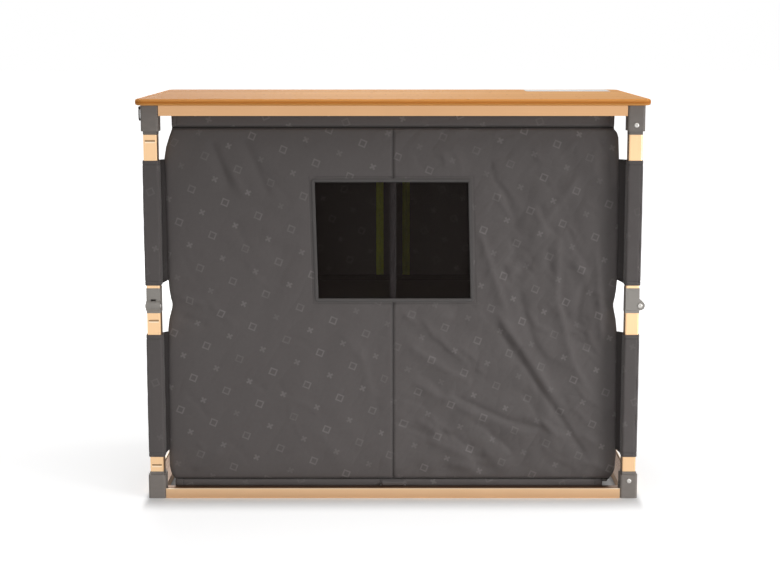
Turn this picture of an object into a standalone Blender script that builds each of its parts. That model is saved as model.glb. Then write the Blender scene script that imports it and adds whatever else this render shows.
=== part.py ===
"""Folding camp cupboard: a board top on a folding aluminium frame, with a hung cloth body.

Metres, +Z up. The origin is on the floor under the middle of the board. +X is to the right of a
person who faces the doors, +Y is the back. The frame stands on four legs. Each leg is two equal
halves on three parallel pins: one in the bottom corner, one at the knee and one in the top corner.
The knee pin lies outside the tubes, so the halves close flat on each other and lock past the
middle when they stand. Each leg lies down along its own side of the rim, one behind the other.
"""

import math

import bmesh
import bpy
from mathutils import Matrix, Vector

# Whole cupboard
TOP_LENGTH = 1.040
TOP_DEPTH = 0.480
OVERALL_HEIGHT = 0.830
FIT_GAP = 0.0003

# Board top
BOARD_THICKNESS = 0.013
BOARD_CORNER_RADIUS = 0.020
BOARD_EDGE_ROUND = 0.004
BOARD_OVERHANG = 0.011

# Metal plate let into the board for hot pans
PLATE_LENGTH = 0.190
PLATE_DEPTH = 0.095
PLATE_THICKNESS = 0.0015
PLATE_FROM_END = 0.030
PLATE_FROM_FRONT = 0.015
PLATE_CORNER_RADIUS = 0.008

# Moulded corner pieces
CORNER_SIZE = 0.036
CORNER_ROUND = 0.005
CORNER_NOSE = 0.0125
CORNER_POCKET_ROOM = 0.0012
HIP_ABOVE_FLOOR = 0.037
HIP_BELOW_BOARD = 0.040
SPIGOT_LENGTH = 0.022

# Leg tubes
TUBE_SIZE = 0.028
TUBE_WALL = 0.0012
TUBE_ROUND = 0.003
HIP_TO_TUBE = 0.0195
PLUG_DEPTH = 0.030

# Knee hinges
KNEE_FACE_GAP = 0.0015
KNUCKLE_RADIUS = 0.010
KNEE_FLANGE = 0.005
KNEE_BLOCK_HEIGHT = 0.036
KNEE_BLOCK_PROUD = 0.0003
TONGUE_WIDTH = 0.010
TONGUE_NECK = 0.0073
PAD_MARGIN = 0.003
PAD_RAISED = 0.0005
PAD_ROUND = 0.004

# Pins
PIN_RADIUS = 0.003
PIN_HEAD_RADIUS = 0.0046
PIN_HEAD_HEIGHT = 0.0016
PIN_BITE = 0.0004

# Rails of the two rims
RAIL_HEIGHT = 0.021
RAIL_STEP = 0.003
RAIL_LIP = 0.0018
RAIL_DEPTH = 0.031
RAIL_WALL = 0.0016
RAIL_INSET = 0.001
GROOVE_WIDTH = 0.003
GROOVE_DEPTH = 0.0008
GROOVE_FROM_LIP = (0.0065, 0.0125)

# Bar across the middle of the bottom rim
CROSSBAR_WIDTH = 0.040
CROSSBAR_HEIGHT = 0.014
CROSSBAR_TOP = 0.022
CROSSBAR_ROUND = 0.003

# Cloth body
CLOTH = 0.0016
CLOTH_INSIDE_SLEEVES = 0.0081
CLOTH_BEHIND_SLEEVES = 0.0061
WAIST = 0.010
WAIST_POWER = 4
BODY_BELOW_BOARD = 0.049
BODY_BOTTOM = 0.031
STRIP_INSET = 0.016
STRIP_RECESS = 0.003
STRIP_STEP = 0.006
STRIP_BELOW_BOARD = 0.011
DIVIDER_LIFT = 0.006

# Window of the back panel
WINDOW_LENGTH = 0.315
WINDOW_HEIGHT = 0.243
WINDOW_BELOW_TOP = 0.112
MESH_THICKNESS = 0.001
MESH_LAP = 0.009

# Doors of the front, and the frame of cloth round them
HEADER_HEIGHT = 0.023
SILL_HEIGHT = 0.011
JAMB_WIDTH = 0.025
POST_HALF = 0.030
DOOR_FLAT_EDGE = 0.030

# Boards in the cloth
SHELF_BELOW_KNEE = 0.017
PANEL_THICKNESS = 0.003

# Sleeves of the legs, from the pin that each end is near
SLEEVE_CLOTH = 0.0006
SLEEVE_FROM_LOW_HIP = 0.051
SLEEVE_BELOW_KNEE = 0.061
SLEEVE_ABOVE_KNEE = 0.042
SLEEVE_FROM_TOP_HIP = 0.072
WEB_SHORT_OF_CLOTH = 0.0015

# Hanging ring at one corner
RING_WIRE = 0.0015
RING_WIDTH = 0.022
RING_DROP = 0.0265
RING_ROUND = 0.007
LUG_WIDTH = 0.009
LUG_HEIGHT = 0.013
LUG_THICKNESS = 0.0012
EYE_WALL = 0.0012
RING_PIN_BELOW_BOARD = 0.0055

# Facets of round shapes
ROUND_STEPS = 16
ARC_STEPS = 3
DOME_STEPS = 2
WIRE_STEPS = 2
SMOOTH_ANGLE = math.radians(30)
RIM_ANGLE = math.radians(60)
WELD = 1e-6

# Worked out from the sizes above
BOARD_UNDERSIDE = OVERALL_HEIGHT - BOARD_THICKNESS
FRAME_TOP = BOARD_UNDERSIDE - FIT_GAP
CORNER_X = TOP_LENGTH / 2 - BOARD_OVERHANG - CORNER_SIZE / 2
CORNER_Y = TOP_DEPTH / 2 - BOARD_OVERHANG - CORNER_SIZE / 2
HIP_TOP = BOARD_UNDERSIDE - HIP_BELOW_BOARD
HALF_LEG = (HIP_TOP - HIP_ABOVE_FLOOR) / 2
KNEE_HEIGHT = HIP_ABOVE_FLOOR + HALF_LEG
KNEE_OFFSET = TUBE_SIZE / 2 + KNEE_FACE_GAP
KNEE_BLOCK_HALF = TUBE_SIZE / 2 + KNEE_BLOCK_PROUD
CHEEK_INSIDE = TUBE_SIZE / 2 + FIT_GAP
SPIGOT_HALF = TUBE_SIZE / 2 - TUBE_WALL - FIT_GAP
SLEEVE_OUTER = TUBE_SIZE / 2 + FIT_GAP + SLEEVE_CLOTH
RAIL_OUTER = CORNER_SIZE / 2 - RAIL_INSET
BODY_HALF_LENGTH = CORNER_X - SLEEVE_OUTER - CLOTH_INSIDE_SLEEVES
BODY_HALF_DEPTH = CORNER_Y - SLEEVE_OUTER - CLOTH_BEHIND_SLEEVES
WAIST_HALF_LENGTH = BODY_HALF_LENGTH - WAIST
BODY_TOP = BOARD_UNDERSIDE - BODY_BELOW_BOARD
STRIP_TOP = BOARD_UNDERSIDE - STRIP_BELOW_BOARD
STRIP_HALF_LENGTH = BODY_HALF_LENGTH - STRIP_INSET
SHELF_TOP = KNEE_HEIGHT - SHELF_BELOW_KNEE
SHELF_MIDDLE = SHELF_TOP - PANEL_THICKNESS / 2
WINDOW_TOP = BODY_TOP - WINDOW_BELOW_TOP
WINDOW_BOTTOM = WINDOW_TOP - WINDOW_HEIGHT
DOOR_TOP = BODY_TOP - HEADER_HEIGHT
DOOR_BOTTOM = BODY_BOTTOM + SILL_HEIGHT
DOOR_OUTER = BODY_HALF_LENGTH - JAMB_WIDTH
DOOR_WIDTH = DOOR_OUTER - POST_HALF - 2 * FIT_GAP
DOOR_HEIGHT = DOOR_TOP - DOOR_BOTTOM - 2 * FIT_GAP
CLOTH_FLOOR = CROSSBAR_TOP + FIT_GAP
CLOTH_EDGE = BODY_HALF_DEPTH - CLOTH - FIT_GAP
PANEL_REACH = CLOTH_EDGE - CLOTH
RING_EYE = RING_WIRE + FIT_GAP + EYE_WALL

# The four corners, each a quarter turn on from the last: name, side in x, side in y, turn
CORNERS = (
    ("rear_right", 1, 1, 0),
    ("rear_left", -1, 1, 90),
    ("front_left", -1, -1, 180),
    ("front_right", 1, -1, 270),
)

RING_CORNER = "rear_right"

# Main folds of the back panel. Both ends are shares of its half length from the middle and of its
# height from the bottom. Then come the fold's half width and its height.
BACK_FOLDS = (
    (-0.35, 0.51, -0.94, 0.05, 0.030, 0.0042),
    (-0.24, 0.36, -0.75, 0.23, 0.024, 0.0034),
    (-0.13, 0.26, -0.64, 0.08, 0.028, 0.0030),
    (0.36, 0.50, 0.88, 0.20, 0.036, 0.0026),
    (-0.53, 0.83, -0.90, 0.61, 0.034, 0.0028),
)

# Main folds of a door, in shares of its width from the middle and of its height from the top
DOOR_FOLDS = (
    (-0.41, -0.09, 0.15, -0.47, 0.034, 0.0026),
    (0.39, -0.17, -0.19, -0.80, 0.040, 0.0024),
    (-0.29, -0.60, 0.36, -0.91, 0.032, 0.0028),
)
FOLD_END_SHARE = 0.12

# Columns and rows of the cloth panels
SHOULDER_ROWS = 6
DEPTH_COLUMNS = 6
FLOOR_COLUMNS = 3
BACK_COLUMNS = (7, 6, 7)
FRAME_COLUMNS = 4
DOOR_COLUMNS = 9
DOOR_ROWS = 14


# Finishes

def finish(name, colour, roughness, metallic=0.0):
    """Return a material with a plain Principled surface."""
    material = bpy.data.materials.new(name)
    material.use_nodes = True
    material.diffuse_color = (*colour, 1.0)
    surface = material.node_tree.nodes["Principled BSDF"]
    surface.inputs["Base Color"].default_value = (*colour, 1.0)
    surface.inputs["Roughness"].default_value = roughness
    surface.inputs["Metallic"].default_value = metallic
    return material


# Meshes

def mesh_from(shape):
    """Turn a finished bmesh into a mesh."""
    bmesh.ops.recalc_face_normals(shape, faces=shape.faces)
    mesh = bpy.data.meshes.new("shape")
    shape.to_mesh(mesh)
    shape.free()
    return mesh


def box(low, high):
    """Return the mesh of a box between two corners."""
    low, high = Vector(low), Vector(high)
    shape = bmesh.new()
    bmesh.ops.create_cube(shape, size=1.0)
    place = Matrix.Translation((low + high) / 2) @ Matrix.Diagonal((*(high - low), 1.0))
    bmesh.ops.transform(shape, matrix=place, verts=shape.verts)
    return mesh_from(shape)


def rod_x(radius, start, end, steps=ROUND_STEPS):
    """Return the mesh of a round bar on the X axis."""
    shape = bmesh.new()
    bmesh.ops.create_cone(
        shape, cap_ends=True, segments=steps, radius1=radius, radius2=radius, depth=end - start
    )
    place = Matrix.Translation(((start + end) / 2, 0, 0)) @ Matrix.Rotation(math.pi / 2, 4, "Y")
    bmesh.ops.transform(shape, matrix=place, verts=shape.verts)
    return mesh_from(shape)


def arc(centre, radius, start, end, steps):
    """Return the points of an arc in a plane, its angles in degrees."""
    points = []
    for step in range(steps + 1):
        angle = math.radians(start + (end - start) * step / steps)
        points.append((centre[0] + radius * math.cos(angle), centre[1] + radius * math.sin(angle)))
    return points


def rounded_rectangle(low, high, radius, steps=ARC_STEPS):
    """Return the outline of a rectangle with round corners."""
    points = []
    centres = (
        (high[0] - radius, high[1] - radius, 0),
        (low[0] + radius, high[1] - radius, 90),
        (low[0] + radius, low[1] + radius, 180),
        (high[0] - radius, low[1] + radius, 270),
    )
    for x, y, angle in centres:
        points += arc((x, y), radius, angle, angle + 90, steps)
    return points


def on_bench(data):
    """Return a working object with the given mesh or curve."""
    item = bpy.data.objects.new("work", data)
    bpy.context.scene.collection.objects.link(item)
    return item


def evaluated(item):
    """Return a working object's evaluated mesh, welded, and remove the object."""
    bpy.context.view_layer.update()
    graph = bpy.context.evaluated_depsgraph_get()
    mesh = bpy.data.meshes.new_from_object(item.evaluated_get(graph))
    shape = bmesh.new()
    shape.from_mesh(mesh)
    bmesh.ops.remove_doubles(shape, verts=shape.verts, dist=WELD)
    bmesh.ops.recalc_face_normals(shape, faces=shape.faces)
    shape.to_mesh(mesh)
    shape.free()
    bpy.data.objects.remove(item)
    return mesh


def extrusion(loops, start, end, along):
    """Return a flat outline, with any holes, extruded along X, Y or Z.

    The outline's two axes are Y and Z along X, X and Z along Y, and X and Y along Z.
    """
    curve = bpy.data.curves.new("outline", "CURVE")
    curve.dimensions = "2D"
    curve.fill_mode = "BOTH"
    curve.extrude = (end - start) / 2
    for loop in loops:
        spline = curve.splines.new("POLY")
        spline.points.add(len(loop) - 1)
        spline.use_cyclic_u = True
        for point, (a, b) in zip(spline.points, loop):
            point.co = (a, b, 0.0, 1.0)
    mesh = evaluated(on_bench(curve))
    bpy.data.curves.remove(curve)
    middle = (start + end) / 2
    turns = {
        "X": Matrix(((0, 0, 1, middle), (1, 0, 0, 0), (0, 1, 0, 0), (0, 0, 0, 1))),
        "Y": Matrix(((1, 0, 0, 0), (0, 0, -1, middle), (0, 1, 0, 0), (0, 0, 0, 1))),
        "Z": Matrix.Translation((0, 0, middle)),
    }
    mesh.transform(turns[along])
    return mesh


def combined(base, tools, operation):
    """Return a mesh united with, or cut by, each of the tool meshes."""
    item = on_bench(base)
    helpers = [on_bench(tool) for tool in tools]
    for helper in helpers:
        modifier = item.modifiers.new("shape", "BOOLEAN")
        modifier.operation = operation
        modifier.solver = "EXACT"
        modifier.object = helper
    mesh = evaluated(item)
    for helper in helpers:
        bpy.data.objects.remove(helper)
    return mesh


def moved(mesh, offset, turn=0):
    """Return a copy of a mesh, turned about Z by a number of degrees and moved."""
    copy = mesh.copy()
    copy.transform(Matrix.Translation(offset) @ Matrix.Rotation(math.radians(turn), 4, "Z"))
    return copy


def flipped(mesh):
    """Return a copy of a mesh mirrored top to bottom about height 0."""
    copy = mesh.copy()
    copy.transform(Matrix.Diagonal((1, 1, -1, 1)))
    copy.flip_normals()
    return copy


def pin(seat):
    """Return a riveted pin along X, its two domed heads on faces at plus and minus seat."""
    profile = [(seat + PIN_HEAD_HEIGHT, 0.0)]
    for step in range(1, DOME_STEPS + 1):
        angle = math.pi / 2 * step / DOME_STEPS
        profile.append((seat + PIN_HEAD_HEIGHT * math.cos(angle), PIN_HEAD_RADIUS * math.sin(angle)))
    profile.append((seat, PIN_RADIUS))
    profile += [(-x, radius) for x, radius in reversed(profile)]
    mesh = bpy.data.meshes.new("profile")
    steps = range(len(profile) - 1)
    mesh.from_pydata([(x, radius, 0.0) for x, radius in profile], [(i, i + 1) for i in steps], [])
    item = on_bench(mesh)
    turn = item.modifiers.new("turn", "SCREW")
    turn.axis = "X"
    turn.steps = ROUND_STEPS
    turn.render_steps = ROUND_STEPS
    turn.use_merge_vertices = True
    turn.merge_threshold = WELD
    return evaluated(item)


# Objects

class Cupboard:
    """Collects the pieces and the empties that carry them."""

    def __init__(self):
        self.collection = bpy.data.collections.new("folding_cupboard")
        bpy.context.scene.collection.children.link(self.collection)

    def pivot(self, name, place, turn=0, parent=None):
        """Add an empty on a joint's axis, turned about Z by a number of degrees."""
        empty = bpy.data.objects.new(name, None)
        empty.location = place
        empty.rotation_euler = (0.0, 0.0, math.radians(turn))
        empty.parent = parent
        self.collection.objects.link(empty)
        return empty

    def piece(self, name, mesh, material, parent=None):
        """Add a named piece of the cupboard."""
        item = bpy.data.objects.new(name, mesh)
        item.parent = parent
        mesh.materials.append(material)
        mesh.shade_smooth()
        mesh.set_sharp_from_angle(angle=SMOOTH_ANGLE)
        self.collection.objects.link(item)


# Rails and corners

def rail_profile(up):
    """Return the outer outline and the hollow of a rail, from the corner's middle, ledge up or down.

    The rail stands on height 0 and reaches RAIL_HEIGHT times up.
    """
    ledge = RAIL_HEIGHT - RAIL_STEP
    floor = ledge - GROOVE_DEPTH
    inner = RAIL_OUTER - RAIL_DEPTH
    outline = [(RAIL_OUTER, 0.0), (RAIL_OUTER, RAIL_HEIGHT), (RAIL_OUTER - RAIL_LIP, RAIL_HEIGHT),
               (RAIL_OUTER - RAIL_LIP, ledge)]
    for start in GROOVE_FROM_LIP:
        near = RAIL_OUTER - RAIL_LIP - start
        far = near - GROOVE_WIDTH
        outline += [(near, ledge), (near, floor), (far, floor), (far, ledge)]
    outline += [(inner, ledge), (inner, 0.0)]
    roof = floor - RAIL_WALL
    hollow = [(RAIL_OUTER - RAIL_WALL, RAIL_WALL), (RAIL_OUTER - RAIL_WALL, roof),
              (inner + RAIL_WALL, roof), (inner + RAIL_WALL, RAIL_WALL)]
    return [[(across, up * height) for across, height in loop] for loop in (outline, hollow)]


def rail(length, up):
    """Return a rail along X whose outer side faces +Y and whose corner line is Y = 0."""
    return extrusion(rail_profile(up), -length / 2, length / 2, "X")


def add_rails(cupboard, level, base, up, finishes):
    """Add the four rails of a rim."""
    long_rail = rail(2 * CORNER_X - CORNER_SIZE - 2 * FIT_GAP, up)
    end_rail = rail(2 * CORNER_Y - CORNER_SIZE - 2 * FIT_GAP, up)
    lift = Vector((0.0, 0.0, base))
    sides = (
        ("rear_rail", long_rail, (0, CORNER_Y, 0), 0),
        ("front_rail", long_rail, (0, -CORNER_Y, 0), 180),
        ("left_rail", end_rail, (-CORNER_X, 0, 0), 90),
        ("right_rail", end_rail, (CORNER_X, 0, 0), 270),
    )
    for name, mesh, place, turn in sides:
        placed = moved(mesh, Vector(place) + lift, turn)
        cupboard.piece(level + "_" + name, placed, finishes["gold"])


def corner_block(hip, height):
    """Return a corner piece that stands on height 0, open at its top where the leg is pinned.

    Its two outer faces look along +X and +Y. The leg's plug turns about a pin along X, riveted in
    the two cheeks, and leaves through the open -Y side. A short spigot fills the end of each rail.
    """
    half = CORNER_SIZE / 2
    body = extrusion([rounded_rectangle((-half, -half), (half, half), CORNER_ROUND)], 0.0, height, "Z")
    inner = RAIL_OUTER - RAIL_DEPTH
    room = RAIL_WALL + FIT_GAP
    low = (inner + room, room)
    high = (RAIL_OUTER - room, RAIL_HEIGHT - RAIL_STEP - GROOVE_DEPTH - room)
    spigot_x = box((-half - SPIGOT_LENGTH, low[0], low[1]), (-half + CORNER_ROUND, high[0], high[1]))
    spigot_y = box((low[0], -half - SPIGOT_LENGTH, low[1]), (high[0], -half + CORNER_ROUND, high[1]))
    body = combined(body, [spigot_x, spigot_y], "UNION")
    floor = hip - TUBE_SIZE / 2 - CORNER_POCKET_ROOM
    pocket = box((-CHEEK_INSIDE, -CORNER_SIZE, floor), (CHEEK_INSIDE, CHEEK_INSIDE, height + CORNER_SIZE))
    body = combined(body, [pocket], "DIFFERENCE")
    return combined(body, [moved(pin(half - PIN_BITE), (0.0, 0.0, hip))], "UNION")


# Legs

def square_tube(start, end):
    """Return a square leg tube along Z."""
    half = TUBE_SIZE / 2
    inside = half - TUBE_WALL
    outer = rounded_rectangle((-half, -half), (half, half), TUBE_ROUND)
    inner = rounded_rectangle((-inside, -inside), (inside, inside), TUBE_ROUND - TUBE_WALL, 1)
    return extrusion([outer, inner], start, end, "Z")


def tube_spigot(start, end, y=0.0):
    """Return the square end of a fitting that fills a tube along Z, its corners cut off."""
    low, high = (-SPIGOT_HALF, y - SPIGOT_HALF), (SPIGOT_HALF, y + SPIGOT_HALF)
    return extrusion([rounded_rectangle(low, high, TUBE_ROUND, 1)], start, end, "Z")


def hip_plug():
    """Return the plug that joins a tube to a corner, its pin along X at the origin, tube upwards."""
    half = TUBE_SIZE / 2
    shoulder = HIP_TO_TUBE - FIT_GAP
    round_end = half - FIT_GAP
    outline = arc((0.0, 0.0), round_end, 180, 360, ROUND_STEPS // 2)
    outline += [(round_end, shoulder), (-round_end, shoulder)]
    plug = extrusion([outline], -half, half, "X")
    plug = combined(plug, [tube_spigot(shoulder / 2, HIP_TO_TUBE + PLUG_DEPTH)], "UNION")
    return combined(plug, [rod_x(PIN_RADIUS + FIT_GAP, -TUBE_SIZE, TUBE_SIZE)], "DIFFERENCE")


def knee_tongue():
    """Return the lower half's part of the knee with its riveted pin along X at the origin."""
    top = -KNUCKLE_RADIUS - FIT_GAP
    bottom = top - KNEE_FLANGE
    near = -KNEE_OFFSET + KNEE_BLOCK_HALF
    far = -KNEE_OFFSET - KNEE_BLOCK_HALF
    flange = box((-KNEE_BLOCK_HALF, far, bottom), (KNEE_BLOCK_HALF, near, top))
    spigot = tube_spigot(bottom - PLUG_DEPTH, (top + bottom) / 2, -KNEE_OFFSET)
    half = TONGUE_WIDTH / 2
    neck = box((-half, near - TONGUE_NECK, (top + bottom) / 2), (half, near, 0.0))
    disc = rod_x(KNUCKLE_RADIUS - FIT_GAP, -half, half)
    return combined(flange, [spigot, neck, disc, pin(KNEE_BLOCK_HALF + FIT_GAP)], "UNION")


def knee_pads():
    """Return the two raised pads on the outer faces of the knee's block, facing +X and +Y."""
    half = KNEE_BLOCK_HALF - PAD_MARGIN
    low = KNUCKLE_RADIUS + PAD_MARGIN
    high = KNEE_BLOCK_HEIGHT - PAD_MARGIN
    face = KNEE_BLOCK_HALF
    middle = -KNEE_OFFSET
    end_pad = rounded_rectangle((middle - half, low), (middle + half, high), PAD_ROUND)
    back_pad = rounded_rectangle((-half, low), (half, high), PAD_ROUND)
    return [
        extrusion([end_pad], face - PAD_MARGIN, face + PAD_RAISED, "X"),
        extrusion([back_pad], middle + face - PAD_MARGIN, middle + face + PAD_RAISED, "Y"),
    ]


def knee_fork():
    """Return the upper half's part of the knee, its pin along X at the origin, tube upwards."""
    near = -KNEE_OFFSET + KNEE_BLOCK_HALF
    far = -KNEE_OFFSET - KNEE_BLOCK_HALF
    block = box((-KNEE_BLOCK_HALF, far, -KNUCKLE_RADIUS), (KNEE_BLOCK_HALF, near, KNEE_BLOCK_HEIGHT))
    ears = rod_x(KNUCKLE_RADIUS, -KNEE_BLOCK_HALF, KNEE_BLOCK_HALF)
    spigot = tube_spigot(KNEE_BLOCK_HEIGHT / 2, KNEE_BLOCK_HEIGHT + PLUG_DEPTH, -KNEE_OFFSET)
    knee = combined(block, [ears, spigot] + knee_pads(), "UNION")
    neck_far = near - TONGUE_NECK
    reach = math.hypot(neck_far, KNUCKLE_RADIUS + FIT_GAP) + FIT_GAP
    slot_half = TONGUE_WIDTH / 2 + FIT_GAP
    slot = rod_x(reach, -slot_half, slot_half, steps=2 * ROUND_STEPS)
    bore = rod_x(PIN_RADIUS + FIT_GAP, -TUBE_SIZE, TUBE_SIZE)
    return combined(knee, [slot, bore], "DIFFERENCE")


def sleeve(start, end, across, back):
    """Return a cloth sleeve round a tube along Z, with the web that ties it to the cloth body.

    The body's corner lies at -across and -back from the tube's middle, and the web ends just short
    of it.
    """
    inside = TUBE_SIZE / 2 + FIT_GAP
    low, high = (-SLEEVE_OUTER, -SLEEVE_OUTER), (SLEEVE_OUTER, SLEEVE_OUTER)
    outer = rounded_rectangle(low, high, TUBE_ROUND, 2)
    inner = rounded_rectangle((-inside, -inside), (inside, inside), TUBE_ROUND, 2)
    tube = extrusion([outer, inner], start, end, "Z")
    root = Vector((-SLEEVE_OUTER + TUBE_ROUND / 2, -SLEEVE_OUTER + TUBE_ROUND / 2))
    tip = Vector((-across, -back))
    way = (tip - root).normalized()
    tip -= way * WEB_SHORT_OF_CLOTH
    side = Vector((-way.y, way.x)) * SLEEVE_CLOTH
    outline = [root - side, tip - side, tip + side, root + side]
    web = extrusion([outline], start + TUBE_ROUND, end - TUBE_ROUND, "Z")
    return combined(tube, [web], "UNION")


def leg_pieces(across, back):
    """Return the pieces of a leg's lower and upper half, each with its name and finish."""
    flange_bottom = HALF_LEG - KNUCKLE_RADIUS - FIT_GAP - KNEE_FLANGE
    upper_end = HALF_LEG - HIP_TO_TUBE
    knee_from_hip = Vector((0.0, KNEE_OFFSET, HALF_LEG))
    leg_line = Vector((0.0, -KNEE_OFFSET, 0.0))
    top_plug_place = leg_line + Vector((0.0, 0.0, HALF_LEG))
    lower_sleeve = sleeve(SLEEVE_FROM_LOW_HIP, HALF_LEG - SLEEVE_BELOW_KNEE, across, back)
    upper_sleeve = sleeve(SLEEVE_ABOVE_KNEE, HALF_LEG - SLEEVE_FROM_TOP_HIP, across, back)
    upper_tube = square_tube(KNEE_BLOCK_HEIGHT + FIT_GAP, upper_end)
    lower = (
        ("_lower_hip_plug", hip_plug(), "grey"),
        ("_lower_tube", square_tube(HIP_TO_TUBE, flange_bottom - FIT_GAP), "gold"),
        ("_lower_sleeve", lower_sleeve, "cloth"),
        ("_knee_tongue", moved(knee_tongue(), knee_from_hip), "grey"),
    )
    upper = (
        ("_knee_fork", knee_fork(), "grey"),
        ("_upper_tube", moved(upper_tube, leg_line), "gold"),
        ("_upper_sleeve", moved(upper_sleeve, leg_line), "cloth"),
        ("_upper_hip_plug", moved(flipped(hip_plug()), top_plug_place), "grey"),
    )
    return lower, upper


def add_legs(cupboard, finishes):
    """Add the four folding legs, each under its own hip and knee pivots."""
    to_end = CORNER_X - BODY_HALF_LENGTH
    to_face = CORNER_Y - BODY_HALF_DEPTH
    knee_from_hip = Vector((0.0, KNEE_OFFSET, HALF_LEG))
    for name, side_x, side_y, turn in CORNERS:
        along_end = side_x == side_y
        lower, upper = leg_pieces(to_end, to_face) if along_end else leg_pieces(to_face, to_end)
        hip_place = (side_x * CORNER_X, side_y * CORNER_Y, HIP_ABOVE_FLOOR)
        hip = cupboard.pivot(name + "_hip", hip_place, turn)
        knee = cupboard.pivot(name + "_knee", knee_from_hip, parent=hip)
        for pieces, parent in ((lower, hip), (upper, knee)):
            for part, mesh, material in pieces:
                cupboard.piece(name + part, mesh, finishes[material], parent)


def ring_lug():
    """Return the lug for the ring, on a top corner's +X face, its pin line along Y at height 0.

    The bore for the ring is returned with it.
    """
    face = CORNER_SIZE / 2
    half = LUG_WIDTH / 2
    plate = box((face - PIN_BITE, -half, -LUG_HEIGHT), (face + LUG_THICKNESS, half, 0.0))
    circle = 360 - 360 / ROUND_STEPS
    line = Matrix.Translation((face + RING_EYE, 0.0, 0.0))
    eye = extrusion([arc((0.0, 0.0), RING_EYE, 0, circle, ROUND_STEPS - 1)], -half, half, "Y")
    bore = extrusion([arc((0.0, 0.0), RING_WIRE + FIT_GAP, 0, circle, ROUND_STEPS - 1)], -face, face, "Y")
    eye.transform(line)
    bore.transform(line)
    return combined(combined(plate, [eye], "UNION"), [bore], "DIFFERENCE"), bore


def add_corners(cupboard, finishes):
    """Add the corner pieces of both rims, one of them with a lug for the ring."""
    bottom = corner_block(HIP_ABOVE_FLOOR, HIP_ABOVE_FLOOR + CORNER_NOSE)
    hip_from_top = HIP_BELOW_BOARD - FIT_GAP
    top = flipped(corner_block(hip_from_top, hip_from_top + CORNER_NOSE))
    lug, bore = ring_lug()
    lift = (0.0, 0.0, FIT_GAP - RING_PIN_BELOW_BOARD)
    lugged = combined(top.copy(), [moved(lug, lift)], "UNION")
    lugged = combined(lugged, [moved(bore, lift)], "DIFFERENCE")
    rise = Vector((0.0, 0.0, FRAME_TOP))
    for name, side_x, side_y, turn in CORNERS:
        place = Vector((side_x * CORNER_X, side_y * CORNER_Y, 0.0))
        cap = lugged if name == RING_CORNER else top
        cupboard.piece(name + "_bottom_corner", moved(bottom, place, turn), finishes["grey"])
        cupboard.piece(name + "_top_corner", moved(cap, place + rise, turn), finishes["grey"])


# Top

def is_rim(edge):
    """Say whether a level edge lies between a flat face of the board and its side."""
    level = abs(edge.verts[0].co.z - edge.verts[1].co.z) < WELD
    return level and edge.calc_face_angle() > RIM_ANGLE


def add_board(cupboard, finishes):
    """Add the board top and the metal plate let into it."""
    half = (TOP_LENGTH / 2, TOP_DEPTH / 2)
    outline = rounded_rectangle((-half[0], -half[1]), half, BOARD_CORNER_RADIUS, 2 * ARC_STEPS)
    board = extrusion([outline], BOARD_UNDERSIDE, OVERALL_HEIGHT, "Z")
    shape = bmesh.new()
    shape.from_mesh(board)
    rim = [edge for edge in shape.edges if is_rim(edge)]
    bmesh.ops.bevel(
        shape, geom=rim, offset=BOARD_EDGE_ROUND, segments=2, profile=0.5, affect="EDGES", material=-1
    )
    board = mesh_from(shape)
    low = (-half[0] + PLATE_FROM_END, -half[1] + PLATE_FROM_FRONT)
    high = (low[0] + PLATE_LENGTH, low[1] + PLATE_DEPTH)
    recess_low = (low[0] - FIT_GAP, low[1] - FIT_GAP)
    recess_high = (high[0] + FIT_GAP, high[1] + FIT_GAP)
    seat = OVERALL_HEIGHT - PLATE_THICKNESS
    recess = extrusion(
        [rounded_rectangle(recess_low, recess_high, PLATE_CORNER_RADIUS)],
        seat - FIT_GAP, OVERALL_HEIGHT + PLATE_THICKNESS, "Z",
    )
    board = combined(board, [recess], "DIFFERENCE")
    plate = extrusion([rounded_rectangle(low, high, PLATE_CORNER_RADIUS)], seat, OVERALL_HEIGHT, "Z")
    cupboard.piece("board_top", board, finishes["board"])
    cupboard.piece("pan_plate", plate, finishes["plate"])


def add_ring(cupboard, finishes):
    """Add the steel ring that hangs in the lug at the rear right corner."""
    pin_x = CORNER_X + CORNER_SIZE / 2 + RING_EYE
    hinge = cupboard.pivot("ring_hinge", (pin_x, CORNER_Y, BOARD_UNDERSIDE - RING_PIN_BELOW_BOARD))
    curve = bpy.data.curves.new("ring", "CURVE")
    curve.dimensions = "3D"
    curve.bevel_depth = RING_WIRE
    curve.bevel_resolution = WIRE_STEPS
    spline = curve.splines.new("POLY")
    across = RING_WIDTH / 2
    points = rounded_rectangle((-across, -RING_DROP + RING_WIRE), (across, 0.0), RING_ROUND)
    spline.points.add(len(points) - 1)
    spline.use_cyclic_u = True
    for point, (y, z) in zip(spline.points, points):
        point.co = (0.0, y, z, 1.0)
    cupboard.piece("hanging_ring", evaluated(on_bench(curve)), finishes["steel"], hinge)


# Cloth

def ridge(x, z, fold, span):
    """Return how far a fold lifts the cloth at a point, its ends in shares of the span."""
    start = Vector((fold[0] * span[0], fold[1] * span[1]))
    end = Vector((fold[2] * span[0], fold[3] * span[1]))
    width, height = fold[4:6]
    run = end - start
    along = max(0.0, min(1.0, (Vector((x, z)) - start).dot(run) / run.length_squared))
    away = (Vector((x, z)) - start - run * along).length
    fade = math.sin(math.pi * (FOLD_END_SHARE + (1 - 2 * FOLD_END_SHARE) * along))
    return height * fade * math.exp(-((away / width) ** 2))


def even(low, high, count):
    """Return count steps from low to high, both ends in the list."""
    return [low + (high - low) * step / count for step in range(count + 1)]


def eased(low, high, count):
    """Return count steps from low to high that lie closer together near both ends."""
    turns = [math.pi * step / count for step in range(count + 1)]
    return [low + (high - low) * (1 - math.cos(turn)) / 2 for turn in turns]


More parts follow.
